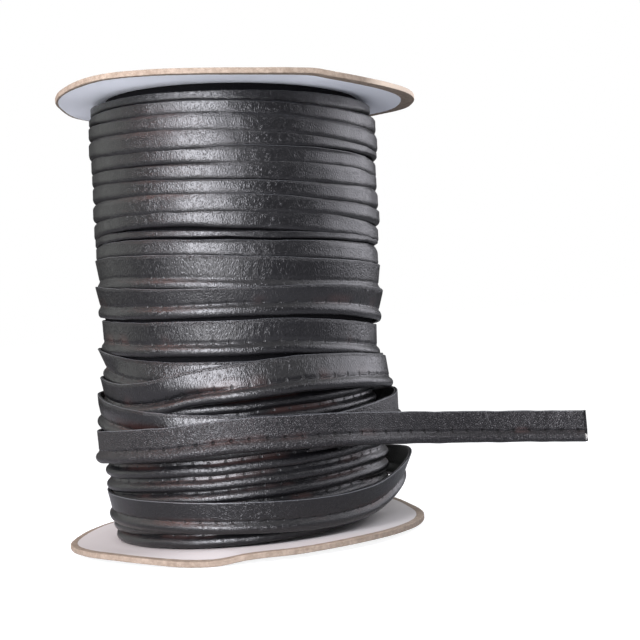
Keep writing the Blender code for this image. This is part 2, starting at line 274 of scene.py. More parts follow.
def band_mesh(name: str, rings: Array, along: Array, across: Array,
              material: Material, closed: bool = False) -> Object:
    """Skins a closed section carried along a path, capped at its ends.

    Args:
        name: the object's name.
        rings: places in metres, stations by section points by three. The section's first
            half is its outer skin and the second half its inner skin read backwards.
        along: millimetres along the path, one for each station.
        across: millimetres round the section, one for each point and one more to close it.
        material: the one material.
        closed: True where the last station meets the first.

    Returns:
        The band.
    """
    stations, count = rings.shape[:2]
    if closed:
        rings = np.concatenate([rings, rings[:1]])
        stations += 1
    points = rings.reshape(-1, 3)
    faces = grid_faces(stations, count, True)
    row = np.repeat(np.arange(stations - 1), count)
    column = np.tile(np.arange(count), stations - 1)
    ahead_row = np.minimum(row + 1, len(along) - 1)
    left, right = across[column], across[column + 1]
    map_u = np.stack([along[row], along[row], along[ahead_row], along[ahead_row]], axis=1)
    map_v = np.stack([left, right, right, left], axis=1)
    if closed:
        faces = faces % ((stations - 1) * count)
        points = points[:(stations - 1) * count]
    else:
        half = count // 2
        near = np.arange(half - 1)
        far = count - 1 - near
        cap = np.stack([near, far, far - 1, near + 1], axis=1)
        last = (stations - 1) * count
        tail = last + cap[:, ::-1]
        faces = np.concatenate([faces, cap, tail])
        for station, block in ((0, cap), (stations - 1, cap[:, ::-1])):
            map_u = np.concatenate([map_u, np.full(block.shape, along[station])])
            map_v = np.concatenate([map_v, across[block]])
    corners_uv = np.stack([map_u, map_v], axis=-1) * MAP_PER_MM
    if not outward(points, faces):
        faces = faces[:, ::-1]
        corners_uv = corners_uv[:, ::-1]
    return mesh_from(name, points, faces, material, 60.0, corners_uv)


# Shader maths


def math_method(operation: str, swapped: bool = False) -> Callable:
    """Makes a method that adds one Math node; swapped puts its own socket last."""
    def method(self: "Sum", *others: object) -> "Sum":
        """Adds the node."""
        values = (*others, self) if swapped else (self, *others)
        return self.paint.node("ShaderNodeMath", {"operation": operation}, *values)
    return method


class Sum:
    """A node socket that takes part in Python expressions, each adding a Math node.

    size() is the value without its sign and least() the lower of two; % is never negative.
    """

    def __init__(self, paint: "Paint", socket: bpy.types.NodeSocket) -> None:
        """Keeps the socket and the material that it belongs to."""
        self.paint = paint
        self.socket = socket

    __add__, __radd__ = math_method("ADD"), math_method("ADD", swapped=True)
    __sub__, __rsub__ = math_method("SUBTRACT"), math_method("SUBTRACT", swapped=True)
    __mul__, __rmul__ = math_method("MULTIPLY"), math_method("MULTIPLY", swapped=True)
    __truediv__, __mod__ = math_method("DIVIDE"), math_method("FLOORED_MODULO")
    size, least, power = math_method("ABSOLUTE"), math_method("MINIMUM"), math_method("POWER")

    def rise(self, start: float, end: float) -> "Sum":
        """0 at start to 1 at end, smoothly; start may be the higher one."""
        low, high = (start, end) if start < end else (end, start)
        out = self.paint.node("ShaderNodeMapRange",
                              {"interpolation_type": "SMOOTHSTEP"}, self, low, high, 0.0, 1.0)
        return out if start < end else 1.0 - out


class Paint:
    """One node material, filled in by Python expressions."""

    def __init__(self, name: str) -> None:
        """Makes the material with its Principled shader."""
        self.material = bpy.data.materials.new(name)
        self.material.use_nodes = True
        self.tree = self.material.node_tree
        self.shader = self.tree.nodes["Principled BSDF"]

    def node(self, kind: str, settings: dict, *values: object, named: dict | None = None,
             output: int | str = 0) -> Sum:
        """Adds any node: its settings first, then its inputs.

        Args:
            kind: the node's type.
            settings: properties set before the inputs.
            values: the first inputs, in their order.
            named: inputs by name.
            output: which output is given back.

        Returns:
            The output, ready for an expression.
        """
        made = self.tree.nodes.new(kind)
        for key, value in settings.items():
            setattr(made, key, value)
        for target, value in zip(made.inputs, values):
            self.feed(target, value)
        for key, value in (named or {}).items():
            self.feed(made.inputs[key], value)
        return Sum(self, made.outputs[output])

    def feed(self, target: bpy.types.NodeSocket, value: object) -> None:
        """Links a socket to the target or sets a plain value on it."""
        if isinstance(value, Sum):
            self.tree.links.new(value.socket, target)
        else:
            target.default_value = value

    def parts(self, vector: Sum) -> tuple[Sum, Sum, Sum]:
        """Splits a vector into its three numbers."""
        split = self.node("ShaderNodeSeparateXYZ", {}, vector).socket.node
        return tuple(Sum(self, out) for out in split.outputs)

    def vector(self, x: object, y: object, z: object) -> Sum:
        """Joins three numbers into a vector."""
        return self.node("ShaderNodeCombineXYZ", {}, x, y, z)

    def noise(self, place: Sum, scale: float, detail: float = 2.0, rough: float = 0.5) -> Sum:
        """Soft noise from 0 to 1 about the middle."""
        return self.node("ShaderNodeTexNoise", {"noise_dimensions": "3D"},
                         named={"Vector": place, "Scale": scale, "Detail": detail,
                                "Roughness": rough})

    def cells(self, place: Sum, scale: float) -> Sum:
        """Distance to the edges of random cells."""
        return self.node("ShaderNodeTexVoronoi",
                         {"feature": "DISTANCE_TO_EDGE", "voronoi_dimensions": "3D"},
                         named={"Vector": place, "Scale": scale}, output="Distance")

    def mix(self, share: object, first: object, second: object) -> Sum:
        """Blends two colours."""
        made = self.tree.nodes.new("ShaderNodeMix")
        made.data_type = "RGBA"
        self.feed(made.inputs["Factor"], share)
        colours = [socket for socket in made.inputs if socket.type == "RGBA"]
        self.feed(colours[0], first)
        self.feed(colours[1], second)
        return Sum(self, next(out for out in made.outputs if out.type == "RGBA"))

    def bump(self, height: Sum, distance: float) -> Sum:
        """Turns heights from 0 to 1 into a normal; distance is their full rise in metres."""
        return self.node("ShaderNodeBump", {}, named={
            "Height": height, "Distance": distance, "Strength": 1.0})

    def finish(self, **inputs: object) -> Material:
        """Sets the Principled shader's inputs, with underscores for spaces."""
        for key, value in inputs.items():
            self.feed(self.shader.inputs[key.replace("_", " ")], value)
        return self.material


@dataclass(frozen=True)
class GrainedLeather:
    """Black faux leather with a pressed grain, its stitch line and its cut edge."""

    name: str = "grained_faux_leather"
    black: tuple = (0.0035, 0.0035, 0.0042, 1.0)
    # Lighter colour for slow blotches of the leather's own tone and for the painted sheen on the
    # grain's tops
    blotch_and_sheen: tuple = (0.0085, 0.0082, 0.0090, 1.0)
    # Colour of the painted warm reflection along the seam
    warm: tuple = (0.030, 0.0130, 0.0110, 1.0)
    cut_edge: tuple = (0.075, 0.078, 0.085, 1.0)
    # Colour of the painted shade in the needle holes
    painted_hole_shade: tuple = (0.001, 0.001, 0.001, 1.0)
    grain_rise: float = 0.00008
    roughness: float = 0.32
    specular: float = 0.52
    # How much of the painted sheen the grain's tops take
    grain_sheen: float = 0.35
    # 1 where the seam shows, else 0
    holes: float = 1.0
    # Repeats in a millimetre: of the slow blotches, the bend, the grain's cells and fine noise
    slow_scale: float = 0.035
    bend_scale: float = 0.45
    cell_scale: float = 0.95
    fine_scale: float = 3.2
    # Reach in millimetres of a needle hole, the dent along the seam, the painted warm reflection
    # along it and the cut edge
    hole_reach: float = 0.85
    seam_reach: float = 1.6
    reflection_reach: float = 2.2
    edge_reach: float = 0.34

    def material(self) -> Material:
        """Builds the material on the tape's own map.

        The grain is the distance to the edges of random cells, slanted and bent by noise, with
        a finer noise and long creases added; the cells' tops take a lighter colour, a painted
        sheen, which slow blotches of the leather's tone share. Along the stitch line the grain
        is flatter, with a needle hole at each stitch pitch, darkened as painted shade, a pucker
        between holes and, in blotches, a warm colour that is a painted reflection. The cut edge,
        where the map starts, is paler.
        """
        paint = Paint(self.name)
        place = paint.node("ShaderNodeUVMap", {"uv_map": "tape_map"})
        u, v, _ = paint.parts(place)
        along = u * (1.0 / MAP_PER_MM)
        across = v * (1.0 / MAP_PER_MM)
        flat = paint.vector(along, across, 0.0)
        slow = paint.noise(flat, self.slow_scale, 2.0, 0.6)
        bend = paint.noise(flat, self.bend_scale, 2.0, 0.5)
        bent_along = along + (bend - 0.5) * 1.6
        bent_across = across + (bend - 0.5) * 1.1 + (slow - 0.5) * 3.0
        slanted = paint.vector((bent_along - bent_across) * 0.85,
                               (bent_along + bent_across) * 1.35, 0.0)
        cell = paint.cells(slanted, self.cell_scale)
        pebble = cell.rise(0.0, 0.36)
        fine = paint.noise(flat, self.fine_scale, 3.0, 0.6)
        creases = paint.noise(paint.vector(along * 0.55, across * 0.14, 3.0), 0.9, 2.0, 0.5)
        grain = pebble * 0.70 + fine * 0.25 + creases * 0.12

        step = (along / TAPE.stitch_pitch) % 1.0 - 0.5
        stitch_u = step.size() * TAPE.stitch_pitch
        from_line = (across - TAPE.stitch_drop).size()
        from_hole = (stitch_u * stitch_u + from_line * from_line).power(0.5)
        hole = from_hole.rise(self.hole_reach, 0.25)
        seam = from_line.rise(self.seam_reach, 0.2) * self.holes
        pucker = seam * stitch_u.rise(0.6, 3.2) * 0.5

        height = grain * (1.0 - 0.5 * seam) + (pucker - hole * 1.6) * self.holes
        normal = paint.bump(height, self.grain_rise)

        # Painted reflection: blotches along the seam take a warm colour that stands in for a warm
        # light reflected there
        painted_reflection = slow.rise(0.50, 0.62) * from_line.rise(self.reflection_reach, 0.4) * self.holes
        # Painted sheen: the grain's tops are lighter; slow blotches of the leather's own tone use
        # the same colour
        colour = paint.mix(pebble.power(2.0) * self.grain_sheen + slow * 0.15, self.black, self.blotch_and_sheen)
        colour = paint.mix(painted_reflection * 0.55, colour, self.warm)
        colour = paint.mix(across.rise(self.edge_reach, 0.10) * 0.8, colour, self.cut_edge)
        # Painted shade: the needle holes are darkened
        colour = paint.mix(hole.least(1.0) * self.holes, colour, self.painted_hole_shade)
        rough = self.roughness + (fine - 0.5) * 0.16 + (slow - 0.5) * 0.14
        rough = rough + hole * (0.3 * self.holes)
        return paint.finish(Base_Color=colour, Roughness=rough, Normal=normal,
                            Specular_IOR_Level=self.specular)


@dataclass(frozen=True)
class SewingThread:
    """Black polyester thread."""

    name: str = "black_thread"
    colour: tuple = (0.006, 0.006, 0.007, 1.0)

    def material(self) -> Material:
        """Fine plies by noise on Object coordinates."""
        paint = Paint(self.name)
        place = paint.node("ShaderNodeTexCoord", {}, output="Object")
        plies = paint.noise(place, 4200.0, 1.0, 0.5)
        return paint.finish(Base_Color=self.colour, Roughness=0.5 + (plies - 0.5) * 0.2,
                            Normal=paint.bump(plies, 0.00006), Specular_IOR_Level=0.4)


@dataclass(frozen=True)
class FillerCord:
    """White spun cord that fills the tape's edge."""

    name: str = "white_filler_cord"
    pale: tuple = (0.80, 0.79, 0.75, 1.0)
    shade: tuple = (0.50, 0.48, 0.44, 1.0)

    def material(self) -> Material:
        """Soft fibres by noise on Object coordinates."""
        paint = Paint(self.name)
        place = paint.node("ShaderNodeTexCoord", {}, output="Object")
        fibre = paint.noise(place, 2600.0, 3.0, 0.7)
        return paint.finish(Base_Color=paint.mix(fibre, self.shade, self.pale), Roughness=0.9,
                            Normal=paint.bump(fibre, 0.0002))


@dataclass(frozen=True)
class ReelCard:
    """Kraft board, with a pale coated liner over part of its inner face."""

    name: str
    liner_centre: tuple
    liner_radius: float
    liner_faces_up: bool
    liner: tuple
    # Where along X the rim starts to take painted light, and the colour of that painted light
    painted_light_from: float = 1.0
    painted_light_end: tuple = (0.72, 0.60, 0.48, 1.0)
    kraft: tuple = (0.225, 0.178, 0.136, 1.0)
    kraft_dark: tuple = (0.125, 0.092, 0.066, 1.0)
    kraft_pale: tuple = (0.31, 0.255, 0.205, 1.0)

    def material(self) -> Material:
        """Builds the board on Object coordinates.

        Kraft fibres are streaks of noise with flecks over them. The liner is a disc mask on
        the inner face, with a ragged edge, chosen by the sign of the normal's height. Beyond a
        place along X the rim is paler: painted light on the rim's lit end.
        """
        paint = Paint(self.name)
        place = paint.node("ShaderNodeTexCoord", {}, output="Object")
        x, y, _ = paint.parts(place)
        facing = paint.node("ShaderNodeNewGeometry", {}, output="True Normal")
        upward = paint.parts(facing)[2]
        inner = upward.rise(0.45, 0.6) if self.liner_faces_up else upward.rise(-0.45, -0.6)
        from_x = (x - self.liner_centre[0]).power(2.0)
        reach = (from_x + (y - self.liner_centre[1]).power(2.0)).power(0.5)
        ragged = paint.noise(place, 420.0, 2.0, 0.6)
        on_liner = inner * (reach + (ragged - 0.5) * 0.0006).rise(
            self.liner_radius + 0.0001, self.liner_radius - 0.0002)
        streak = paint.noise(place, 380.0, 4.0, 0.75)
        fleck = paint.noise(place, 900.0, 3.0, 0.7)
        mottle = paint.noise(place, 60.0, 2.0, 0.5)
        kraft = paint.mix(streak.rise(0.35, 0.7), self.kraft_dark, self.kraft_pale)
        kraft = paint.mix(0.55 + (mottle - 0.5) * 0.5, kraft, self.kraft)
        kraft = paint.mix(fleck.rise(0.60, 0.72) * 0.6, kraft, self.kraft_pale)
        kraft = paint.mix(fleck.rise(0.38, 0.28) * 0.5, kraft, self.kraft_dark)
        on_edge = upward.size().rise(0.75, 0.45)
        # Painted light: the rim's end beyond a place along X is paler, as where light falls on it
        painted_light_end = x.rise(self.painted_light_from, self.painted_light_from + 0.012) * on_edge
        kraft = paint.mix(painted_light_end, kraft, self.painted_light_end)
        colour = paint.mix(on_liner, kraft, self.liner)
        height = (fleck * 0.7 + streak * 0.5) * (1.0 - 0.85 * on_liner)
        return paint.finish(Base_Color=colour, Roughness=0.85 - 0.42 * on_liner,
                            Normal=paint.bump(height, 0.00018), Specular_IOR_Level=0.4)


# The tape on the winding


@dataclass
class Relief:
    """How the tape's section stands out at each station."""

    layer: Array
    depth: Array
    rise: Array
    neck: Array
    crease: Array
    arc_start: Array

    @classmethod
    def even(cls, count: int, *sizes: float) -> "Relief":
        """The same sizes at every station, in the order of the fields."""
        return cls(*(np.full(count, float(size)) for size in sizes))

    def part(self, wanted: slice) -> "Relief":
        """Only the wanted stations."""
        return Relief(*(size[wanted] for size in vars(self).values()))

    def turned_into(self, later: "Relief", share: Array) -> "Relief":
        """These sizes, which may end first, that turn into later ones as the share rises."""
        pairs = zip(vars(self).values(), vars(later).values())
        return Relief(*(go_over(early, late, share) for early, late in pairs))


@dataclass
class Pile:
    """The winding's outer radius so far, by azimuth and height."""

    height: float = 176.0
    step: float = 0.25
    columns: int = 240
    lip_samples: int = 15
    # How many samples from the upper edge hold the flare up, and how far a laid turn is eased
    edge_samples: int = 8
    ease: int = 4
    stiffness: float = 0.65
    # Height left bare between the lip's face and the cord's
    bare: float = 0.3

    def __post_init__(self) -> None:
        """Starts from nothing wound."""
        self.levels = np.arange(0.0, self.height, self.step)
        self.radius = np.zeros((self.columns, len(self.levels)))

    def column(self, azimuth: Array) -> Array:
        """Column number of an azimuth."""
        return np.round((azimuth + 180.0) * self.columns / 360.0).astype(int) % self.columns

    def read(self, column: Array, height: Array) -> Array:
        """Radius at columns by heights, straight between levels."""
        place = np.clip(height / self.step, 0.0, len(self.levels) - 1.001)
        low = place.astype(int)
        share = place - low
        rows = column[:, None]
        return self.radius[rows, low] * (1.0 - share) + self.radius[rows, low + 1] * share

    def lay(self, azimuth: Array, edge: Array, lip: Array, flare: Array,
            relief: Relief) -> tuple[Array, Array]:
        """Lays at most one turn of tape on the pile and adds it to it.

        The cord rests on the highest point below it. The lip is the lowest stiff curve from the
        stitch line over what it covers: the greatest of the straight lines between any two
        supports, with its upper edge held off by the flare.

        Args:
            azimuth: degrees, one for each station.
            edge: height of the upper edge.
            lip: height of the lip, from the stitch line to the upper edge.
            flare: how far the upper edge stands off what lies behind it.
            relief: the section's sizes.

        Returns:
            Middle radii of the lip, at even shares from edge to stitch, and of the cord.
        """
        layer, depth = relief.layer, relief.depth
        column = self.column(azimuth)
        shares_down = np.linspace(0.3, 1.7, 7)
        under = (edge - lip - relief.neck)[:, None] - relief.rise[:, None] * shares_down
        cord = blur(self.read(column, under).max(axis=1), self.ease) + depth
        shares = np.linspace(0.0, 1.0, self.lip_samples)
        support = self.read(column, edge[:, None] - shares * lip[:, None])
        upper = support[:, :self.edge_samples].max(axis=1) + flare
        support[:, 0] = np.maximum(support[:, 0], upper)
        support[:, -1] = cord - layer
        hull = support.copy()
        for first in range(self.lip_samples):
            for last in range(first + 2, self.lip_samples):
                share = (np.arange(first + 1, last) - first) / (last - first)
                line = support[:, first:first + 1] * (1 - share) + support[:, last:last + 1] * share
                hull[:, first + 1:last] = np.maximum(hull[:, first + 1:last], line)
        eased = hull.copy()
        eased[:, 1:-1] = 0.25 * hull[:, :-2] + 0.5 * hull[:, 1:-1] + 0.25 * hull[:, 2:]
        smooth = blur(eased, self.ease)
        blend = (1.0 - self.stiffness) * eased + self.stiffness * smooth
        middle = np.maximum(smooth, blend) + layer[:, None]
        self.cover(azimuth, edge, lip, middle, cord, relief)
        return middle, cord

    def cover(self, azimuth: Array, edge: Array, lip: Array, middle: Array,
              cord: Array, relief: Relief) -> None:
        """Raises the pile to a laid turn's outer face: flat over the lip, round over the cord."""
        column = self.column(azimuth)
        outer = middle + relief.layer[:, None]
        drop = edge[:, None] - self.levels
        share = np.clip(drop / lip[:, None], 0.0, 1.0) * (self.lip_samples - 1)
        low = np.minimum(share.astype(int), self.lip_samples - 2)
        rest = share - low
        lip_face = (np.take_along_axis(outer, low, 1) * (1 - rest)
                    + np.take_along_axis(outer, low + 1, 1) * rest)
        on_lip = (drop >= 0.0) & (drop <= lip[:, None] - self.bare)
        rise, neck = relief.rise[:, None], relief.neck[:, None]
        from_cord = drop - lip[:, None] - neck - rise
        rounded = relief.depth[:, None] * np.sqrt(np.maximum(1.0 - (from_cord / rise) ** 2, 0.0))
        on_cord = (from_cord > -rise - neck - self.bare) & (from_cord < rise)
        face = np.where(on_lip, lip_face, np.where(on_cord, cord[:, None] + rounded, 0.0))
        self.radius[column] = np.maximum(self.radius[column], face)


@dataclass
class TapeSkin:
    """Points round a laid tape's section, worked out for whole stretches at once."""

    lip_shares: tuple = (0.16, 0.32, 0.48, 0.64, 0.80, 0.92)
    arc_shares: tuple = (0.0, 0.14, 0.28, 0.42, 0.56, 0.70, 0.85, 1.0)
    arc_end: float = 92.0
    back_angles: tuple = (250.0, 230.0, 210.0, 190.0, 170.0, 150.0, 130.0)
    # The rounded upper edge: shares of the layer's thickness, and drops; then the lip's start
    edge_out: tuple = (0.12, 0.55, 0.89)
    edge_drops: tuple = (0.22, 0.0, 0.10)
    lip_start: float = 0.26

    def rings(self, edge: Array, lip: Array, middle: Array, cord: Array,
              relief: Relief) -> tuple[Array, Array, Array]:
        """Works out the section of each station.

        Args:
            edge: height of the upper edge, one for each station.
            lip: lip height.
            middle: the lip's middle radius at even shares from the edge to the stitch.
            cord: the cord's middle radius.
            relief: the section's sizes.

        Returns:
            Radii and heights, stations by points, and the place round the section in millimetres.
        """
        layer, depth, rise, neck, crease, start = (size[:, None] for size in vars(relief).values())
        at_edge, at_stitch = middle[:, :1], middle[:, -1:]
        on_lip = self.along_lip(middle, np.array(self.lip_shares))
        height, radius, drop = edge[:, None], cord[:, None], lip[:, None]
        angles = np.radians(start + (self.arc_end - start) * np.array(self.arc_shares))
        centre = drop + neck + rise
        rounding = np.array(self.edge_out) * layer
        top = 0 * drop + np.array(self.edge_drops)
        front_radii = [at_edge + rounding, at_edge + layer, on_lip + layer,
                       at_stitch + layer - crease, at_stitch + layer - 0.4 * crease,
                       radius + depth * np.cos(angles)]
        front_drops = [top, 0 * drop + self.lip_start, drop * np.array(self.lip_shares), drop,
                       drop + 0.54 * neck, centre + rise * np.sin(angles)]
        radii = np.concatenate(front_radii, axis=1)
        drops = np.concatenate(front_drops, axis=1)
        count = radii.shape[1]
        back = np.radians(self.back_angles)
        back_shares = np.linspace(0.05, 0.95, count - 5 - len(back))
        back_radii = [at_edge - rounding, self.along_lip(middle, back_shares) - layer,
                      at_stitch - 0.5 * layer, radius + depth * np.cos(back), radius]
        back_drops = [top, drop * back_shares, drop, centre + rise * np.sin(back), centre + rise]
        radii = np.concatenate([radii, np.concatenate(back_radii, axis=1)[:, ::-1]], axis=1)
        drops = np.concatenate([drops, np.concatenate(back_drops, axis=1)[:, ::-1]], axis=1)
        walked = np.hypot(np.diff(radii.mean(axis=0)), np.diff(drops.mean(axis=0)))
        across = np.concatenate([[0.0], np.cumsum(walked)])
        across += TAPE.stitch_drop - across[count - len(self.arc_shares) - 2]
        across[:4] = (0.0, 0.05, 0.2, 0.4)
        return radii, height - drops, np.append(across, across[-1] + 0.3)

    def along_lip(self, middle: Array, shares: Array) -> Array:
        """Reads the lip's middle radius at shares of its height, straight between samples."""
        place = np.minimum(shares * (middle.shape[1] - 1), middle.shape[1] - 1.001)
        low = place.astype(int)
        rest = place - low
        return middle[:, low] * (1 - rest) + middle[:, low + 1] * rest


@dataclass
class OuterTurns:
    """The outer layer, wound from the top down: tight turns above, looser ones below."""

    tight_columns: tuple = (-75, -55, -35, -15, 0, 15, 35, 55, 75)
    gap_columns: tuple = (-60, -20, 10, 50)
    # One row a turn: upper edge at each column; then at the gap columns how far the crown above
    # it is and how far it stands off; then the crown's radius on the left and the right
    tight: tuple = (
        ((170.8, 170.0, 169.1, 168.0, 167.0, 166.3, 165.5, 164.8, 164.4),
         (1.0, 1.0, 1.0, 1.0), (-1.4, -1.7, -1.7, -1.4), (55.4, 54.3)),
        ((166.8, 166.4, 165.9, 164.9, 163.9, 162.7, 161.0, 159.9, 160.1),
         (1.4, 0.8, 0.7, 1.5), (-0.9, -0.5, -0.3, -0.7), (56.2, 56.2)),
        ((163.1, 162.2, 161.3, 160.4, 159.1, 157.9, 156.0, 154.5, 154.1),
         (1.5, 0.7, 0.6, 1.0), (-0.6, -0.4, -0.3, -0.5), (56.6, 56.6)),
        ((158.6, 157.1, 155.8, 154.0, 152.7, 151.3, 149.2, 147.4, 146.3),
         (1.4, 1.1, 1.2, 1.7), (-0.9, -0.4, -0.4, -0.9), (56.8, 56.2)),
        ((151.4, 150.0, 148.9, 147.8, 147.0, 146.1, 144.8, 143.5, 142.7),
         (1.5, 0.9, 1.4, 1.7), (-0.9, -0.5, 0.2, -0.3), (56.0, 55.7)),
        ((145.2, 144.3, 143.2, 142.1, 141.2, 140.5, 139.6, 138.5, 137.2),
         (1.8, 1.7, 0.8, 0.9), (-1.0, -0.9, -0.3, -0.4), (55.9, 55.8)),
        ((141.0, 139.6, 138.0, 136.1, 134.8, 133.7, 132.4, 131.8, 132.1),
         (1.3, 1.8, 1.9, 1.3), (-0.8, -0.4, 0.1, -0.6), (55.9, 56.0)),
        ((134.4, 133.8, 132.9, 131.4, 130.1, 128.6, 126.5, 124.9, 124.2),
         (1.5, 0.9, 1.4, 1.7), (-1.0, -0.5, 0.2, -0.3), (56.1, 56.2)),
        ((127.0, 126.4, 126.0, 125.3, 124.4, 123.2, 121.4, 119.5, 118.0),
         (1.7, 0.8, 0.7, 1.7), (-0.8, -0.4, -0.3, -1.0), (55.9, 55.5)),
        ((120.4, 120.6, 119.7, 118.0, 116.7, 115.6, 114.4, 113.5, 112.5),
         (2.0, 3.4, 2.8, 1.2), (-0.8, -1.1, -0.9, -0.5), (55.7, 55.3)),
        ((117.3, 117.4, 116.4, 114.7, 113.4, 112.3, 111.3, 110.5, 109.8),
         (1.2, 1.6, 1.6, 1.3), (-0.6, 0.0, 0.2, -0.6), (55.6, 55.2)),
    )
    loose_columns: tuple = (-120, -75, -45, -30, -15, 0, 15, 30, 45, 75, 120)
    side_columns: tuple = (-60, 0, 60)
    # One row a turn: upper edge at each column; lip height and stand-off at the side columns
    loose: tuple = (
        ((112.0, 112.2, 111.5, 110.5, 109.3, 107.9, 106.5, 105.2, 104.1, 102.4, 102.2),
         (8.0, 8.2, 7.6), (-0.2, -0.2, 0.0)),
        ((102.2, 102.0, 99.5, 98.2, 97.2, 96.4, 95.9, 95.5, 95.0, 92.9, 91.0),
         (7.2, 5.6, 7.0), (0.2, 0.3, 0.1)),
        ((89.5, 88.8, 87.0, 86.2, 85.5, 84.8, 84.4, 83.5, 82.1, 79.5, 78.9),
         (8.0, 8.1, 8.2), (0.2, 0.4, 0.3)),
        ((78.3, 77.7, 73.1, 71.7, 70.8, 70.0, 69.5, 69.0, 68.6, 67.8, 67.4),
         (7.1, 7.0, 7.0), (0.3, 0.0, 0.0)),
        ((67.1, 66.9, 64.6, 65.8, 68.3, 69.4, 70.1, 70.4, 69.7, 67.4, 64.2),
         (7.5, 8.7, 8.1), (0.4, 0.2, 0.1)),
        ((61.6, 60.2, 55.5, 53.4, 51.9, 50.7, 49.7, 49.0, 47.5, 46.0, 46.0),
         (8.0, 8.0, 8.0), (0.1, 0.0, 0.0)),
    )
    # Height, length and seed of each ripple: of the edges, crowns and flares, then of the lip
    edge_waves: tuple = ((0.08, 37.0, 1.0), (0.04, 11.0, 2.0))
    crown_waves: tuple = ((0.10, 43.0, 6.0), (0.05, 17.0, 2.0))
    tight_flare_waves: tuple = ((0.2, 83.0, 5.0),)
    loose_flare_waves: tuple = ((0.12, 53.0, 3.0),)
    lip_waves: tuple = ((0.05, 9.0, 5.0),)
    path_radius: float = 56.0
    # Upper edge before the first column
    back_columns: tuple = (-180.0, -110.0)
    back_heights: tuple = (170.8, 171.0)
    station: float = 1.5
    last_azimuth: float = 43.5
    # Half thickness of the lip and of the cord in each loose turn, and its crease
    layers: tuple = (0.36, 0.40, 0.46, 0.60, 0.60, 0.60)
    depths: tuple = (1.15, 1.25, 1.50, 1.95, 2.00, 2.00)
    creases: tuple = (0.16, 0.22, 0.28, 0.34, 0.34, 0.34)
    tight_layer: float = 0.34
    tight_depth: float = 1.60
    tight_rise: float = 2.2
    tight_arc: float = -14.0
    # How much deeper the tight turns' grooves are at the sides, and from where to where
    side_sink: float = 1.0
    sink_columns: tuple = (58.0, 80.0)
    loose_arc: float = -62.0
    loose_blur: int = 8
    # Stations over which the tight turns turn into the loose ones, and how much that is blurred
    joint: int = 24
    joint_blur: int = 10
    # How far the thread is sunk, and how much of a lip must clear the next turn to show its seam
    thread_sink: float = 0.24
    seam_clear: float = 0.25
    # Least lip, least way from an edge to its crown and least rise of a cord; then the neck's
    # share of that rise, and how far a crown is taken in where the turn above it starts and ends
    shortest_lip: float = 0.4
    shortest_swell: float = 1.2
    shortest_rise: float = 0.7
    neck_share: float = 0.35
    above_first: float = 0.4
    at_seam: float = 0.06
    crown_columns: tuple = (-60, 60)
    piece_turns: tuple = (0, 4, 8, 12, 17)
    stitched_from: int = 12

    def edges(self, azimuth: Array) -> Array:
        """Upper edge of each station, running straight round the back between tight turns."""
        knots, heights = [], []
        starts = [row[0][0] for row in self.tight] + [self.loose[0][0][0]]
        for number, row in enumerate(self.tight):
            start = 360.0 * number
            knots.extend(start + column for column in self.tight_columns)
            heights.extend(row[0])
            for share in (0.25, 0.5, 0.75):
                knots.append(start + 75.0 + 210.0 * share)
                heights.append(row[0][-1] * (1.0 - share) + starts[number + 1] * share)
        knots = [*self.back_columns] + knots[:-1]
        heights = [*self.back_heights] + heights[:-1]
        for number, row in enumerate(self.loose):
            start = 360.0 * (number + len(self.tight))
            knots.extend(start + column for column in self.loose_columns)
            heights.extend(row[0])
        return through(knots, heights, azimuth)

    def rows(self, columns: tuple, table: tuple, item: int, azimuth: Array) -> Array:
        """Reads one item of a table of turns, given at a few columns."""
        knots = np.concatenate([360.0 * turn + np.array(columns) for turn in range(len(table))])
        values = np.concatenate([row[item] for row in table])
        return through(knots, values, azimuth)

    def build(self, pile: Pile, creased: Material, stitched: Material,
              stitches: "Stitches") -> list[Object]:
        """Winds the outer layer on the pile, as a few long pieces of one ribbon.

        Args:
            pile: the winding so far, which the layer is added to.
            creased: leather of the turns whose seams don't show.
            stitched: leather of the turns whose seams show.
            stitches: takes the thread that shows.

        Returns:
            The pieces, from the top down.
        """
        turns = len(self.tight) + len(self.loose)
        per_turn = round(360.0 / self.station)
        end = 360.0 * (turns - 1) + self.last_azimuth + self.station
        azimuth = np.arange(-180.0, end, self.station)
        along = arc_length(azimuth, self.path_radius)
        edge = wavy(self.edges(azimuth), along, self.edge_waves)
        first_loose = len(self.tight) * per_turn
        middle, cord, lip, relief = self.tight_turns(azimuth[:first_loose + per_turn], edge, along)
        upper = slice(0, first_loose)
        pile.cover(azimuth[upper], edge[upper], lip[upper], middle[upper], cord[upper],
                   relief.part(upper))
        later = self.loose_relief(azimuth)
        in_loose = azimuth - 360.0 * len(self.tight)
        loose_lip = self.rows(self.side_columns, self.loose, 1, in_loose)
        flare = self.rows(self.side_columns, self.loose, 2, in_loose)
        flare = wavy(flare, along, self.loose_flare_waves)
        middles, cords = [middle[upper]], [cord[upper]]
        for start in range(first_loose, len(azimuth), per_turn):
            part = slice(start, min(start + per_turn, len(azimuth)))
            laid, laid_cord = pile.lay(azimuth[part], edge[part], loose_lip[part], flare[part],
                                       later.part(part))
            middles.append(laid)
            cords.append(laid_cord)
        middle, cord = self.eased(middles, first_loose), self.eased(cords, first_loose)
        is_loose = smooth_step(azimuth, azimuth[first_loose] - 40.0, azimuth[first_loose])
        sizes = relief.turned_into(later, is_loose)
        sizes.rise = np.maximum(sizes.rise, 0.8)
        lip = go_over(lip, loose_lip, is_loose)
        unevenness = np.linspace(1.0, 0.0, middle.shape[1])
        uneven = wavy(0.0, along, self.lip_waves)[:, None] * unevenness
        middle = middle + uneven * is_loose[:, None]
        radii, heights, across = TapeSkin().rings(edge, lip, middle, cord, sizes)
        rings = AXIS.place(azimuth[:, None], radii, heights)
        made = []
        for first, last in zip(self.piece_turns[:-1], self.piece_turns[1:]):
            part = slice(first * per_turn, min(last * per_turn + 1, len(azimuth)))
            material = stitched if first >= self.stitched_from else creased
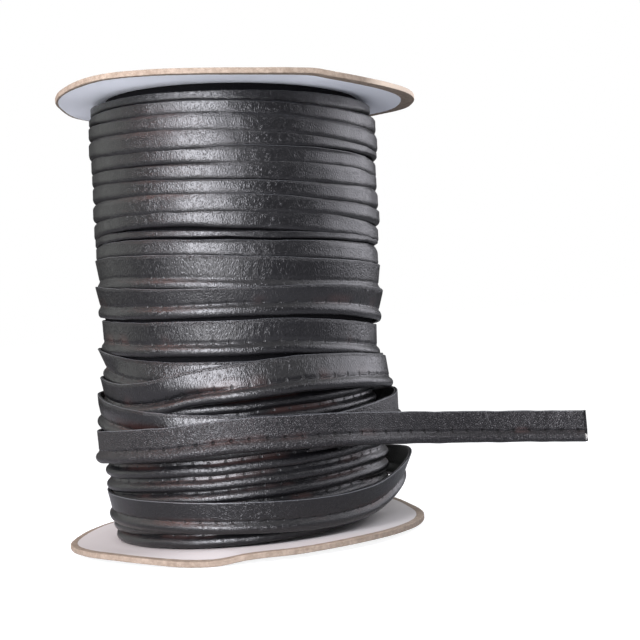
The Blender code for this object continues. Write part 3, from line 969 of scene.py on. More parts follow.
            made.append(band_mesh(f"outer_turns_from_{first + 1}", rings[part], along[part],
                                  across, material))
        next_edge = np.full(len(edge), -np.inf)
        next_edge[:-per_turn] = edge[per_turn:]
        clear = (edge - lip) - next_edge > self.seam_clear
        shown = clear & (azimuth > 360.0 * self.stitched_from - 180.0)
        out = middle[:, -1] + sizes.layer - self.thread_sink
        stitches.add(along, AXIS.place(azimuth, out, edge - lip), shown)
        return made

    def eased(self, stretches: list[Array], first_loose: int) -> Array:
        """Joins radii of all stretches, eases the loose ones, then the joint between the two."""
        radii = np.concatenate(stretches)
        radii[first_loose:] = blur(radii[first_loose:], self.loose_blur)
        near, margin = self.joint, self.joint // 2
        around = radii[first_loose - near - margin:first_loose + near + margin]
        eased = blur(around, self.joint_blur)[margin:-margin]
        radii[first_loose - near:first_loose + near] = eased
        return radii

    def tight_turns(self, azimuth: Array, edge: Array, along: Array
                    ) -> tuple[Array, Array, Array, Relief]:
        """Tight turns: each band swells to its crown, a given way above the edge below it.

        Args:
            azimuth: degrees of the tight turns and of one more turn.
            edge: height of the upper edge of every station of the layer.
            along: millimetres along every station of the layer.

        Returns:
            The lip's middle radius, the cord's, the lip's height and the section's sizes.
        """
        per_turn = round(360.0 / self.station)
        count = len(azimuth)
        below = edge[np.minimum(np.arange(count) + per_turn, len(edge) - 1)]
        spacing = edge[:count] - below
        gap = self.rows(self.gap_columns, self.tight, 1, azimuth + 360.0)
        to_crown = np.maximum(spacing - gap, self.shortest_swell)
        rise = (to_crown - self.shortest_lip) / (1.0 + self.neck_share)
        rise = np.maximum(np.minimum(rise, self.tight_rise), self.shortest_rise)
        neck = self.neck_share * rise
        lip = np.maximum(to_crown - neck - rise, self.shortest_lip)
        crown = self.rows(self.crown_columns, self.tight, 3, azimuth)
        crown = wavy(crown, along[:count], self.crown_waves)
        above = np.append(crown[:per_turn] - self.above_first, crown[:-per_turn])
        flare = self.rows(self.gap_columns, self.tight, 2, azimuth)
        flare = wavy(flare, along[:count], self.tight_flare_waves)
        to_side = np.abs(within_turn(azimuth))
        flare = flare - self.side_sink * smooth_step(to_side, *self.sink_columns)
        share = np.sin(np.linspace(0.0, 0.5 * math.pi, 15))
        at_stitch = (crown - self.at_seam)[:, None]
        outer = (above + flare)[:, None] * (1.0 - share) + at_stitch * share
        relief = Relief.even(count, self.tight_layer, self.tight_depth, 0.0, 0.0, 0.0,
                             self.tight_arc)
        relief.rise, relief.neck = rise, neck
        return outer - relief.layer[:, None], crown - relief.depth, lip, relief

    def loose_relief(self, azimuth: Array) -> Relief:
        """Section sizes of the loose turns, each blending into the next round the back."""
        place = (azimuth - 360.0 * len(self.tight)) / 360.0
        numbers = np.arange(len(self.loose))
        relief = Relief.even(len(azimuth), 0.0, 0.0, TAPE.cord_radius, TAPE.neck, 0.0,
                             self.loose_arc)
        relief.layer = np.interp(place, numbers, self.layers)
        relief.depth = np.interp(place, numbers, self.depths)
        relief.crease = np.interp(place, numbers, self.creases)
        return relief


@dataclass
class InnerTurns:
    """The layer beneath, wound from the foot up, so that its cords show one above the other."""

    # From the foot up: height of each cord's middle at the front, and the drop of its radius
    crowns: tuple = (5.6, 11.0, 16.4, 21.7, 26.6, 32.0, 37.4, 42.8, 48.2, 53.6, 59.0)
    narrowing: tuple = (3.6, 2.6, 1.8, 1.0, 0.2, 0.0, 0.4, 0.8, 0.3, 0.0, 0.6)
    columns: tuple = (-150, -75, -45, 0, 45, 75, 130)
    cord: tuple = (51.8, 53.4, 51.8, 50.9, 50.4, 50.3, 51.0)
    rise: tuple = (0.4, 0.0, -0.2, 0.0, 0.6, 1.0, 0.8)
    # How far each turn has slumped out to the right, and where
    slump: tuple = (2.0, 3.6, 4.9, 4.5, 3.7, 3.0, 1.8, 0.3, 0.0, 0.0, 0.0)
    slump_azimuth: float = 92.0
    slump_reach: float = 40.0
    lip: float = 7.6
    tuck: float = 2.6
    crease: float = 0.3
    arc_start: float = -62.0
    path_radius: float = 52.0
    edge_waves: tuple = ((0.15, 41.0, 7.0),)
    cord_waves: tuple = ((0.15, 67.0, 3.0),)
    station: float = 1.5

    def build(self, leather: Material) -> list[Object]:
        """Winds the inner layer: each lip leans inwards, behind the cord of the turn above it."""
        turns = len(self.crowns)
        azimuth = np.arange(-180.0, 360.0 * (turns - 1) + 180.0, self.station)
        turn_starts = np.arange(turns) * 360.0
        along = arc_length(azimuth, self.path_radius)
        crown = through(turn_starts, self.crowns, azimuth)
        crown = crown + round_circle(self.columns, self.rise, azimuth)
        edge = crown + self.lip + TAPE.neck + TAPE.cord_radius
        edge = wavy(edge, along, self.edge_waves)
        cord = round_circle(self.columns, self.cord, azimuth)
        cord = cord - through(turn_starts, self.narrowing, azimuth)
        cord = wavy(cord, along, self.cord_waves)
        from_slump = within_turn(azimuth - self.slump_azimuth) / self.slump_reach
        cord = cord + through(turn_starts, self.slump, azimuth) * np.exp(-from_slump ** 2)
        middle = cord[:, None] - np.linspace(self.tuck, 0.0, 15)
        relief = Relief.even(len(azimuth), TAPE.layer, TAPE.cord_radius, TAPE.cord_radius,
                             TAPE.neck, self.crease, self.arc_start)
        lip = np.full(len(azimuth), self.lip)
        radii, heights, across = TapeSkin().rings(edge, lip, middle, cord, relief)
        rings = AXIS.place(azimuth[:, None], radii, heights)
        half = len(azimuth) // 2
        parts = (slice(0, half + 1), slice(half, len(azimuth)))
        return [band_mesh(f"inner_turns_{number + 1}", rings[part], along[part], across, leather)
                for number, part in enumerate(parts)]


@dataclass
class HiddenLayer:
    """What shows of the layer beneath through the gaps: a drum ribbed by a helix of cords."""

    low: float = 58.0
    high: float = 168.0
    azimuth_step: float = 3.0
    height_step: float = 0.6
    radius: float = 50.2
    rib: float = 0.9
    pitch: float = 5.4
    # Where the winding below the outer turns is full, and how much thicker it is there
    full_from: float = 72.0
    full_at: float = 88.0
    fullness: float = 2.1
    thin_from: float = 158.0
    thinning: float = 3.0
    # How far the top is raised to meet the upper card, and more on the left than on the right
    top_rise: float = 2.6
    top_tilt: float = 3.2
    rises_from: float = 120.0
    # How much thicker the winding already is below the drum
    swell_columns: tuple = (-130, -75, -40, 0, 60, 130)
    swell: tuple = (1.6, 2.6, 0.8, 0.2, 0.2, 0.6)
    # Millimetres of the leather's map to a degree, and from its cut edge to the floor
    map_per_degree: float = 0.9
    map_start: float = 20.0

    def build(self, pile: Pile, leather: Material) -> Object:
        """A drum whose radius swells as the size of a sine of height less the helix's climb."""
        azimuth = np.arange(-180.0, 180.0, self.azimuth_step)
        height = np.arange(self.low, self.high, self.height_step)
        phase = height[:, None] / self.pitch + azimuth / 360.0
        full = self.fullness * smooth_step(height, self.full_from, self.full_at)
        full = full - self.thinning * smooth_step(height, self.thin_from, self.high - 2.0)
        radius = self.radius + full[:, None] + self.rib * np.abs(np.sin(math.pi * phase))
        raised = self.top_rise - self.top_tilt * np.sin(np.radians(azimuth))
        lifted = height[:, None] + raised * smooth_step(height, self.rises_from, self.high)[:, None]
        poles = np.array([self.low, self.high - self.height_step + self.top_rise])
        points, faces = stacked_rings(AXIS.place(azimuth, radius, lifted),
                                      AXIS.place(0.0, 0.0, poles))
        around = np.append(np.tile(azimuth * self.map_per_degree, len(height)), [0.0, 0.0])
        upward = np.append(np.repeat(height, len(azimuth)), [self.low, self.high]) + self.map_start
        corners = np.stack([around[faces], upward[faces]], axis=-1) * MAP_PER_MM
        column_azimuth = np.arange(pile.columns) * 360.0 / pile.columns - 180.0
        below = 1.0 - smooth_step(pile.levels, self.low - 6.0, self.low)
        swell = round_circle(self.swell_columns, self.swell, column_azimuth)
        full = self.fullness * smooth_step(pile.levels, self.full_from, self.full_at)
        pile.radius += self.radius + self.rib + full + swell[:, None] * below
        return mesh_from("hidden_layer", points, faces, leather, 60.0, corners)


@dataclass
class Stitches:
    """Short thread dashes that lie in the stitch line, gathered into one mesh."""

    length: float = 4.0
    thread: float = 0.20
    sides: int = 6
    rings: tuple = ((-0.5, 0.15), (-0.36, 0.85), (0.0, 1.0), (0.36, 0.85), (0.5, 0.15))
    heading_reach: float = 1.5

    def __post_init__(self) -> None:
        """Starts with none."""
        self.centres: list[Array] = []
        self.headings: list[Array] = []

    def add(self, along: Array, path: Array, shown: Array) -> None:
        """Notes a dash at each whole pitch along a path where the stitch line shows."""
        pitch = TAPE.stitch_pitch
        marks = np.arange(math.ceil(along[0] / pitch) + 1, math.floor(along[-1] / pitch)) * pitch
        marks = marks[np.interp(marks, along, shown.astype(float)) > 0.5]
        ahead, centre, behind = (
            np.stack([np.interp(marks + reach, along, path[:, k]) for k in range(3)], axis=1)
            for reach in (self.heading_reach, 0.0, -self.heading_reach))
        heading = ahead - behind
        self.centres.append(centre)
        self.headings.append(heading / np.linalg.norm(heading, axis=1)[:, None])

    def build(self, thread: Material) -> Object:
        """Makes every dash as a short spindle: a few rings whose size swells to the middle."""
        centre = np.concatenate(self.centres)
        heading = np.concatenate(self.headings)
        upward = np.array([0.0, 0.0, 1.0])
        side = np.cross(heading, upward)
        side /= np.linalg.norm(side, axis=1)[:, None]
        angle = (np.arange(self.sides) * 2.0 * math.pi / self.sides)[:, None]
        circle = side[:, None, :] * np.cos(angle) + upward * np.sin(angle)
        rings = []
        for share, swell in self.rings:
            spine = centre + heading * (share * self.length * MM)
            size = swell * self.thread * MM
            rings.append(spine[:, None, :] + size * circle)
        points = np.stack(rings, axis=1)
        per_dash = len(self.rings) * self.sides
        ends = []
        for base in (0, per_dash - self.sides):
            fan = [[base, base + k, base + k + 1, base + k + 1] for k in range(1, self.sides - 1)]
            ends.append(np.array(fan)[:, [0, 2, 1, 1]] if base == 0 else np.array(fan))
        dash = np.concatenate([grid_faces(len(self.rings), self.sides, True), *ends])
        if not outward(points[0].reshape(-1, 3) - centre[0], dash):
            closed = (dash[:, 2] == dash[:, 3])[:, None]
            dash = np.where(closed, dash[:, [0, 2, 1, 1]], dash[:, ::-1])
        faces = dash + (np.arange(len(centre)) * per_dash)[:, None, None]
        return mesh_from("stitches", points.reshape(-1, 3), faces.reshape(-1, 4), thread, 80.0)


@dataclass
class FoldedTape:
    """Tape off the winding: one sheet folded round its cord, with both layers modelled."""

    sheet: float = 0.58
    lip_drops: tuple = (0.0, 0.14, 0.55, 1.6, 3.0, 4.4, 5.6, 6.5, 7.15)
    cord_angles: tuple = tuple(range(-60, 241, 25))
    # Half widths and drops of the outer and the inner skin where the seam pinches them
    outer_neck: tuple = ((0.34, 0.62), (0.0, 0.42))
    inner_neck: tuple = ((0.01, 0.05), (0.0, 0.5))
    rounding: float = 0.14
    thread_out: float = 0.36

    def section(self, opening: float) -> tuple[Array, Array, Array]:
        """Outer skin then inner skin backwards: offsets, drops and place across the sheet.

        Args:
            opening: gap between the two layers at the upper edge, in millimetres.

        Returns:
            The three rows, the last with one more entry that closes the section.
        """
        drops = np.array(self.lip_drops)
        at_top = drops == 0.0
        part = opening * 0.5 * (1.0 - smooth_step(drops, 0.0, 6.5))
        outer_lip = part + np.where(at_top, self.sheet - self.rounding, self.sheet)
        inner_lip = part + np.where(at_top, self.rounding, 0.01)
        outer_x, outer_z = self.skin(outer_lip, self.outer_neck, TAPE.cord_radius)
        inner_x, inner_z = self.skin(inner_lip, self.inner_neck, TAPE.cord_radius - self.sheet)
        walked = np.append(0.0, np.cumsum(np.hypot(np.diff(outer_x), np.diff(outer_z))))
        walked += TAPE.stitch_drop - walked[len(drops)]
        walked[:2] = (0.0, 0.12)
        across = np.concatenate([walked, walked[::-1], walked[:1]])
        return (np.append(outer_x, inner_x[::-1]), np.append(outer_z, inner_z[::-1]), across)

    def skin(self, lip: Array, neck: tuple, radius: float) -> tuple[Array, Array]:
        """One skin from edge to edge: down one lip, in at the neck, round the cord and back."""
        angle = np.radians(self.cord_angles)
        neck_x, neck_z = np.array(neck[0]), TAPE.stitch_drop + np.array(neck[1])
        centre = TAPE.stitch_drop + TAPE.neck + TAPE.cord_radius
        down_x, down_z = np.append(lip, neck_x), np.append(self.lip_drops, neck_z)
        return (np.concatenate([down_x, radius * np.cos(angle), -down_x[::-1]]),
                np.concatenate([down_z, centre + radius * np.sin(angle), down_z[::-1]]))


@dataclass
class LooseEnd:
    """The last turn: off the winding on the right, round the back, over the front and away."""

    # Azimuth, radius to the middle of the lip, height of the upper edge
    wound: tuple = (
        (26, 55.6, 47.6), (42, 56.3, 48.4), (62, 58.3, 50.4), (76, 59.6, 51.6), (90, 60.0, 52.9),
        (108, 59.4, 54.0), (128, 58.2, 53.6), (150, 57.4, 51.6), (180, 57.2, 49.0),
        (230, 57.2, 47.2), (285, 57.2, 46.7), (300, 57.2, 47.3), (315, 57.2, 47.9),
        (330, 57.2, 48.3), (345, 57.2, 49.1), (360, 57.2, 50.0), (375, 57.3, 49.6),
        (390, 57.6, 48.9),
    )
    # x, y, height of the upper edge
    free: tuple = (
        (41.5, -44.2, 48.3), (50.5, -35.2, 47.1), (61.0, -25.8, 45.8), (72.0, -17.8, 44.4),
        (84.0, -11.7, 43.1), (97.0, -7.6, 41.9), (111.0, -5.2, 40.7), (124.0, -4.2, 39.7),
        (135.2, -4.5, 38.8),
    )
    step: float = 1.0
    half_height: float = 6.0
    # Where the end goes free of the winding, counted back from its cut
    free_from: float = 118.0
    free_at: float = 95.0
    # Gap between the layers at the upper edge, and the share of it that is there while wound
    opening: float = 0.9
    wound_share: float = 0.35
    edge_waves: tuple = ((0.10, 23.0, 9.0),)
    lip_waves: tuple = ((0.20, 15.0, 4.0),)
    back_layer_longer: float = 1.3
    flat_width: float = 0.0265
    # Filler cord: its slack in the fold, and each ring's way past the cut and share of its radius
    filler_slack: float = 0.66
    filler_sides: int = 20
    filler_rings: tuple = ((-14.0, 1.0), (-3.0, 1.0), (0.1, 1.0), (0.55, 0.9), (0.85, 0.6),
                           (0.95, 0.25))
    filler_tip: float = 0.97

    def path(self) -> tuple[Array, Array, Array]:
        """Plan places and upper edge at even steps, and the distance along, in millimetres."""
        wound = np.array(self.wound, float)
        free = np.array(self.free, float)
        turned = np.radians(wound[:, 0])
        lean = AXIS.foot_x + AXIS.lean * (wound[:, 2] - self.half_height)
        x = np.append(wound[:, 1] * np.sin(turned) + lean, free[:, 0])
        y = np.append(-wound[:, 1] * np.cos(turned), free[:, 1])
        edge = np.append(wound[:, 2], free[:, 2])
        knots = np.append(0.0, np.cumsum(np.hypot(np.diff(x), np.diff(y))))
        along = np.append(np.arange(0.0, knots[-1], self.step), knots[-1])
        plan = np.stack([through(knots, x, along), through(knots, y, along)], axis=1)
        return plan, through(knots, edge, along), along

    def build(self, leather: Material, cord_finish: Material,
              stitches: Stitches) -> tuple[Object, Object]:
        """Makes the folded sheet and the filler cord that shows at its cut end.

        Args:
            leather: the sheet's material.
            cord_finish: the filler cord's material.
            stitches: takes the seam's thread.

        Returns:
            The sheet and the cord.
        """
        plan, edge, along = self.path()
        heading = np.gradient(plan, along, axis=0)
        heading /= np.linalg.norm(heading, axis=1)[:, None]
        side = np.stack([heading[:, 1], -heading[:, 0]], axis=1)
        freed = smooth_step(along, along[-1] - self.free_from, along[-1] - self.free_at)
        edge = wavy(edge, along, self.edge_waves)
        fold = FoldedTape()
        shut_x, drops, across = fold.section(0.0)
        open_x, _, _ = fold.section(self.opening)
        opened = self.wound_share + (1.0 - self.wound_share) * freed[:, None]
        lip_wave = wavy(0.0, along, self.lip_waves) * freed
        upper = 1.0 - smooth_step(drops, 0.0, TAPE.stitch_drop)
        offset = shut_x + (open_x - shut_x) * opened
        offset = offset + lip_wave[:, None] * upper
        rings = np.empty((len(along), len(drops), 3))
        rings[:, :, :2] = plan[:, None, :] + side[:, None, :] * offset[:, :, None]
        rings[:, :, 2] = edge[:, None] - drops
        behind = smooth_step(-shut_x, 0.0, 0.3)
        rings[-1, :, :2] += heading[-1] * (behind * self.back_layer_longer)[:, None]
        sheet = band_mesh("loose_tape", rings * MM, along, across, leather)
        seam = np.column_stack([plan + side * fold.thread_out, edge - TAPE.stitch_drop]) * MM
        stitches.add(along, seam, np.ones(len(along), bool))
        return sheet, self.filler(plan, edge, heading, side, cord_finish)

    def filler(self, plan: Array, edge: Array, heading: Array, side: Array,
               finish: Material) -> Object:
        """A short stretch of round cord that ends in a ragged, slightly domed face."""
        drop = TAPE.stitch_drop + TAPE.neck + TAPE.cord_radius
        angle = np.arange(self.filler_sides) * 2.0 * math.pi / self.filler_sides
        radius = TAPE.cord_radius - self.filler_slack
        middle = np.append(plan[-1], edge[-1] - drop)
        forward = np.append(heading[-1], (edge[-1] - edge[-4]) / 3.0)
        across = np.append(side[-1], 0.0)
        upward = np.array([0, 0, 1.0])
        round_it = across * np.cos(angle)[:, None] + upward * np.sin(angle)[:, None]
        rings = []
        for number, (ahead, size) in enumerate(self.filler_rings):
            ragged = 1.0 + 0.07 * np.sin(angle * 5 + number) * (ahead > 0)
            rings.append(middle + forward * ahead + radius * size * ragged[:, None] * round_it)
        ends = (self.filler_rings[0][0], self.filler_tip)
        poles = np.stack([middle + forward * ahead for ahead in ends])
        points, faces = stacked_rings(np.stack(rings) * MM, poles * MM)
        return mesh_from("filler_cord", points, faces, finish, 50.0)


@dataclass
class SlackTurn:
    """The turn near the foot that stands off the winding on the right."""

    # Azimuth, radius to the middle of the lip, upper edge, lean of the foot inwards
    route: tuple = (
        (-180, 56.4, 25.4, 2.4), (-150, 55.8, 24.4, 2.4), (-120, 55.0, 23.8, 2.4),
        (-75, 54.4, 23.2, 2.4), (-60, 54.4, 22.7, 2.4), (-45, 54.4, 22.0, 2.4),
        (-30, 54.4, 21.4, 2.4), (-15, 54.4, 20.7, 2.4), (0, 54.4, 20.0, 2.4),
        (15, 54.6, 19.2, 2.4), (30, 55.2, 18.6, 2.6), (45, 57.0, 18.9, 3.0),
        (58, 59.8, 20.5, 3.6), (68, 62.2, 23.5, 4.2), (78, 63.8, 26.3, 4.8),
        (92, 64.6, 28.7, 5.2), (108, 64.4, 28.9, 4.6), (128, 61.6, 27.8, 4.0),
        (150, 57.8, 25.6, 3.2),
    )
    lip_drop: float = 7.0
    tape_height: float = 12.4
    azimuth_step: float = 0.9
    path_radius: float = 57.0
    radius_waves: tuple = ((0.12, 60.0, 2.0),)
    opening: float = 0.25

    def build(self, leather: Material, stitches: Stitches) -> Object:
        """Carries the folded section round a closed path."""
        table = np.array(self.route, float)
        azimuth = np.arange(-180.0, 180.0, self.azimuth_step)
        radius, edge, lean = (round_circle(tuple(table[:, 0]), tuple(table[:, k]), azimuth)
                              for k in (1, 2, 3))
        along = arc_length(azimuth + 180.0, self.path_radius)
        count = round(along[-1] / TAPE.stitch_pitch)
        along = along * count * TAPE.stitch_pitch / (along[-1] + along[1])
        radius = wavy(radius, azimuth, self.radius_waves)
        fold = FoldedTape()
        offset, drops, across = fold.section(self.opening)
        drops = np.where(drops < TAPE.stitch_drop, drops * self.lip_drop / TAPE.stitch_drop,
                         drops - TAPE.stitch_drop + self.lip_drop)
        tucked = lean[:, None] * drops / self.tape_height
        radii = radius[:, None] + offset - tucked
        heights = edge[:, None] - drops
        rings = AXIS.place(azimuth[:, None], radii, heights)
        out = radius + fold.thread_out - lean * (self.lip_drop / self.tape_height)
        seam = AXIS.place(azimuth, out, edge - self.lip_drop)
        stitches.add(along, seam, np.ones(len(azimuth), bool))
        along = np.append(along, along[-1] + along[1])
        return band_mesh("slack_tape", rings, along, across, leather, closed=True)


@dataclass
class CardFlange:
    """A round card whose underside follows a function of place."""

    name: str
    finish: ReelCard
    centre_x: float
    radius: float = 0.070
    thickness: float = 0.002
    segments: int = 288
    rim_radius: float = 0.00025
    # Height, length in degrees and seed of the fray's ripples
    fray: tuple = ((0.00010, 3.1, 6.0), (0.00022, 47.0, 8.0))

    def underside(self, x: Array, y: Array, azimuth: Array,
                  reach: Array) -> Array:
        """Height of the card's underside."""
        raise NotImplementedError

    def build(self) -> Object:
        """Carries a closed half-section round the card: underside, rim and upper face."""
        edge, round_off, thick = self.radius, self.rim_radius, self.thickness
        reach = np.append(np.linspace(0.004, 0.052, 10), np.linspace(0.054, edge - 0.0012, 14))
        bend = np.radians(np.array([0.0, 30.0, 60.0, 90.0]))
        low_reach = np.append(reach, edge - round_off + round_off * np.sin(bend))
        low_lift = np.append(0.0 * reach, round_off - round_off * np.cos(bend))
        wall = np.array([0.3, 0.5, 0.7]) * thick
        section_reach = np.concatenate([low_reach, edge + 0.0 * wall, low_reach[::-1]])
        section_lift = np.concatenate([low_lift, wall, thick - low_lift[::-1]])
        azimuth = np.arange(self.segments) * 360.0 / self.segments - 180.0
        turned = np.radians(azimuth)
        at_rim = smooth_step(section_reach, edge - 0.004, edge)
        out = section_reach[:, None] + wavy(0.0, azimuth, self.fray) * at_rim[:, None]
        x, y = out * np.sin(turned), -out * np.cos(turned)
        z = self.underside(x, y, azimuth + 0.0 * x, out) + section_lift[:, None]
        zero = np.zeros(1)
        middle = float(self.underside(zero, zero, zero, zero)[0])
        poles = np.array([[self.centre_x, 0.0, middle], [self.centre_x, 0.0, middle + thick]])
        points, faces = stacked_rings(np.stack([x + self.centre_x, y, z], axis=-1), poles)
        return mesh_from(self.name, points, faces, self.finish.material(), 40.0)


@dataclass
class LowerCard(CardFlange):
    """The card on the floor: flat in the middle, dished, with its rim lifted unevenly."""

    flat_radius: float = 0.038
    plateau_radius: float = 0.054
    plateau: float = 0.0017
    # Azimuth and how far the rim stands off the floor there
    rim: tuple = (
        (-150, 2.8), (-120, 2.8), (-95, 1.6), (-58, 2.4), (-46, 2.6), (-33, 2.0), (-24, 1.2),
        (-14, 0.3), (-6, 0.3), (2, 1.6), (18, 1.8), (40, 2.2), (60, 1.9), (90, 1.5), (105, 2.0),
        (113, 3.0), (122, 4.0), (150, 3.5),
    )

    def underside(self, x: Array, y: Array, azimuth: Array,
                  reach: Array) -> Array:
        """Plateau beyond the flat, then the rim's own rise."""
        dish = self.plateau * smooth_step(reach, self.flat_radius, self.plateau_radius)
        rim = round_circle(*zip(*self.rim), azimuth) * MM - self.plateau
        return dish + rim * smooth_step(reach, self.plateau_radius, self.radius)


@dataclass
class UpperCard(CardFlange):
    """The card on top, tilted down to the right, with its rim warped."""

    height: float = 0.16976
    slope_x: float = -math.tan(math.radians(3.63))
    slope_y: float = -math.tan(math.radians(0.42))
    flat_radius: float = 0.054
    # Azimuth and how far the rim is warped up there
    rim: tuple = (
        (-150, -0.3), (-119, -0.8), (-105, -1.2), (-92, -0.3), (-70, 0.0), (-55, 0.5), (-40, 1.0),
        (-25, 0.5), (-8, -0.2), (8, -0.4), (20, 0.1), (27, 0.4), (34, -0.3), (46, -0.9), (65, -0.7),
        (86, 0.3), (105, 0.3), (124, 1.2), (150, 0.6),
    )

    def underside(self, x: Array, y: Array, azimuth: Array,
                  reach: Array) -> Array:
        """A tilted plane and the rim's warp."""
        rim = round_circle(*zip(*self.rim), azimuth) * MM
        return (self.height + self.slope_x * x + self.slope_y * y
                + rim * smooth_step(reach, self.flat_radius, self.radius))


@dataclass
class Studio:
    """Pale floor, soft lights and the camera of the photograph."""

    camera_place: tuple = (0.0354, -0.5473, 0.0824)
    focal_pixels: float = 1385.0
    picture: float = 640.0
    sensor: float = 36.0
    clip: tuple = (0.01, 200.0)
    roll_degrees: float = 4.6
    target: tuple = (0.0, 0.0, 0.09)
    distance: float = 0.9
    surroundings: float = 0.10
    # Lights aimed at the reel: name, azimuth, elevation, width and height, watts and colour
    boxes: tuple = (
        ("key_strip", -24.0, 15.0, (0.52, 0.64), 22.5, (0.93, 0.93, 1.0)),
        ("right_box", 105.0, 14.0, (1.08, 0.80), 9.8, (0.93, 0.92, 1.0)),
        ("left_box", -104.0, 14.0, (0.9, 0.7), 1.9, (0.97, 1.0, 0.95)),
        ("warm_corner", -62.0, 38.0, (0.4, 0.25), 1.6, (1.0, 0.36, 0.26)),
    )
    # The bright patch of table
    glow_place: tuple = (-0.15, -0.40, 0.003)
    glow_size: tuple = (0.32, 0.30)
    glow_watts: float = 1.5
    white: tuple = (1.0, 1.0, 1.0)
    overhead_strength: float = 1.7
    overhead_degrees: float = 120.0
    # The floor's half width, the reach where it goes from pale to dark, and both its colours
    floor_half: float = 60.0
    floor_turns: tuple = (0.44, 0.28)
    floor_dark: tuple = (0.06, 0.06, 0.06, 1.0)
    floor_pale: tuple = (0.34, 0.35, 0.37, 1.0)
    floor_dimming: float = 0.12

    def put(self, name: str, data: bpy.types.ID, pose: Matrix) -> Object:
        """Links an object at a pose."""
        made = bpy.data.objects.new(name, data)
        made.matrix_world = pose
        bpy.context.collection.objects.link(made)
        return made

    def pose(self, flat: tuple, upward: tuple, back: tuple, place: tuple) -> Matrix:
        """Pose whose own X, Y and Z axes are the first three."""
        rows = [(flat[k], upward[k], back[k], place[k]) for k in range(3)]
        return Matrix((*rows, (0.0, 0.0, 0.0, 1.0)))

    def camera(self) -> None:
        """Level camera that looks along +Y, rolled about its own axis."""
        data = bpy.data.cameras.new("camera")
        data.sensor_width = self.sensor
        data.lens = self.focal_pixels * self.sensor / self.picture
        data.clip_start, data.clip_end = self.clip
        roll = math.radians(self.roll_degrees)
        pose = self.pose((math.cos(roll), 0.0, -math.sin(roll)),
                         (math.sin(roll), 0.0, math.cos(roll)), (0.0, -1.0, 0.0),
                         self.camera_place)
        bpy.context.scene.camera = self.put("camera", data, pose)

    def area(self, name: str, size: tuple, watts: float, colour: tuple, pose: Matrix) -> None:
        """A rectangular area light that shines down its own -Z."""
        data = bpy.data.lights.new(name, "AREA")
        data.shape = "RECTANGLE"
        data.size, data.size_y = size
        data.energy = watts
        data.color = colour
        self.put(name, data, pose)

    def lights(self) -> None:
        """Soft boxes aimed at the reel, a glow from the table in front and a wide sun above."""
        for name, azimuth, elevation, size, watts, colour in self.boxes:
            turn, lift = math.radians(azimuth), math.radians(elevation)
            back = np.array([math.sin(turn) * math.cos(lift), -math.cos(turn) * math.cos(lift),
                             math.sin(lift)])
            flat = np.array([math.cos(turn), math.sin(turn), 0.0])
            place = np.array(self.target) + back * self.distance
            self.area(name, size, watts, colour,
                      self.pose(flat, np.cross(back, flat), back, place))
        facing_up = Matrix.Translation(self.glow_place) @ Matrix.Rotation(math.pi, 4, "X")
        self.area("table_glow", self.glow_size, self.glow_watts, self.white, facing_up)
        data = bpy.data.lights.new("overhead", "SUN")
        data.energy = self.overhead_strength
        data.angle = math.radians(self.overhead_degrees)
        self.put("overhead", data, Matrix())

    def floor(self) -> None:
        """A wide floor, pale near the object and dark far off, that the camera sees as white."""
        paint = Paint("pale_floor")
        place = paint.node("ShaderNodeTexCoord", {}, output="Object")
        x, y, _ = paint.parts(place)
        near = (x * x + y * y).power(0.5).rise(*self.floor_turns)
        colour = paint.mix(near, self.floor_dark, self.floor_pale)
        seen = paint.node("ShaderNodeLightPath", {}, output="Is Camera Ray")
        material = paint.finish(Base_Color=colour, Roughness=0.8, Specular_IOR_Level=0.0,
                                Emission_Color=(*self.white, 1.0),
                                Emission_Strength=seen * (1.0 - near * self.floor_dimming))
        mesh = bpy.data.meshes.new("floor")
        half = self.floor_half
        mesh.from_pydata([(-half, -half, 0.0), (half, -half, 0.0), (half, half, 0.0),
                          (-half, half, 0.0)], [], [(0, 1, 2, 3)])
        mesh.materials.append(material)
        self.put("floor", mesh, Matrix())

    def world(self) -> None:
        """Even pale surroundings, white to the camera."""
        world = bpy.data.worlds.new("studio")
        world.use_nodes = True
        tree = world.node_tree
        background = tree.nodes["Background"]
        background.inputs["Color"].default_value = (*self.white, 1.0)
        ray = tree.nodes.new("ShaderNodeLightPath")
        strength = tree.nodes.new("ShaderNodeMapRange")
        strength.inputs["To Min"].default_value = self.surroundings
        strength.inputs["To Max"].default_value = 1.0
        tree.links.new(ray.outputs["Is Camera Ray"], strength.inputs["Value"])
        tree.links.new(strength.outputs["Result"], background.inputs["Strength"])
        bpy.context.scene.world = world

    def build(self) -> None:
        """Sets the whole studio."""
        self.camera()
        self.floor()
        self.world()
        self.lights()
        bpy.context.scene.view_settings.view_transform = "Standard"


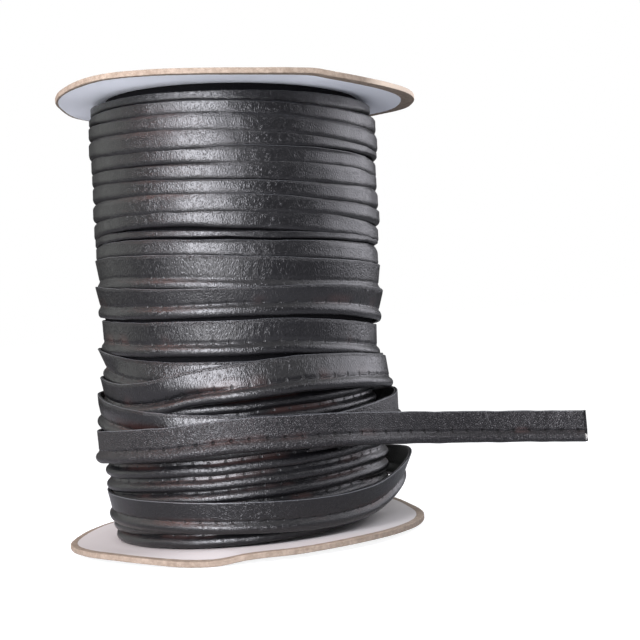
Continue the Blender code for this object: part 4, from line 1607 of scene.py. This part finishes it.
def dress(piece: Object, slot: Slot, *nodes: str) -> None:
    """Puts a piece on the body and hides the CAD nodes that it stands for."""
    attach(piece, "root")
    if nodes:
        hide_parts(*nodes)
    LOG.info("%s: %d faces", piece.name, len(piece.data.polygons))


def main() -> None:
    """Builds the reel round its CAD frame."""
    logging.basicConfig(level=logging.INFO, format="%(name)s: %(message)s")
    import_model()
    Studio().build()

    leather = GrainedLeather().material()
    creased = GrainedLeather("creased_faux_leather", holes=0.0).material()
    shaded = GrainedLeather("shaded_faux_leather", holes=0.0, roughness=0.85,
                            specular=0.06).material()
    # The loose end's leather: more relief, and a lighter, slightly warm colour on its grain tops, a
    # painted sheen
    loose_end_leather = GrainedLeather("scuffed_faux_leather", blotch_and_sheen=(0.026, 0.0225, 0.0240, 1.0), grain_sheen=0.9,
                             grain_rise=0.00017, roughness=0.40, specular=0.42).material()
    thread = SewingThread().material()
    stitches = Stitches()
    pile = Pile()

    for piece in InnerTurns().build(leather):
        dress(piece, Slot.TAPE, "winding")
    dress(HiddenLayer().build(pile, shaded), Slot.TAPE, "winding")
    for piece in OuterTurns().build(pile, creased, leather, stitches):
        dress(piece, Slot.TAPE, "winding")
    dress(SlackTurn().build(leather, stitches), Slot.TAPE, "slack_turn")
    loose = LooseEnd()
    sheet, filler = loose.build(loose_end_leather, FillerCord().material(), stitches)
    dress(sheet, Slot.TAPE, "loose_end")
    dress(filler, Slot.TAPE)
    dress(stitches.build(thread), Slot.TAPE)

    # The two liners are one coated card in two colours: the upper, facing down into shade, is much
    # paler, painted light, and the lower, facing the lights, is darker, painted shade
    lower_finish = ReelCard("lower_card_board", (0.0005, 0.0008), 0.0667, True,
                            (0.50, 0.48, 0.475, 1.0))
    upper_finish = ReelCard("upper_card_board", (0.0071, 0.0), 0.0670, False,
                            (0.86, 0.90, 0.97, 1.0), painted_light_from=0.056)
    dress(LowerCard("lower_card", lower_finish, 0.0007, 0.0693).build(), Slot.CARD, "flange_bottom")
    dress(UpperCard("upper_card", upper_finish, 0.0092).build(), Slot.CARD, "flange_top")


if __name__ == "__main__":
    main()
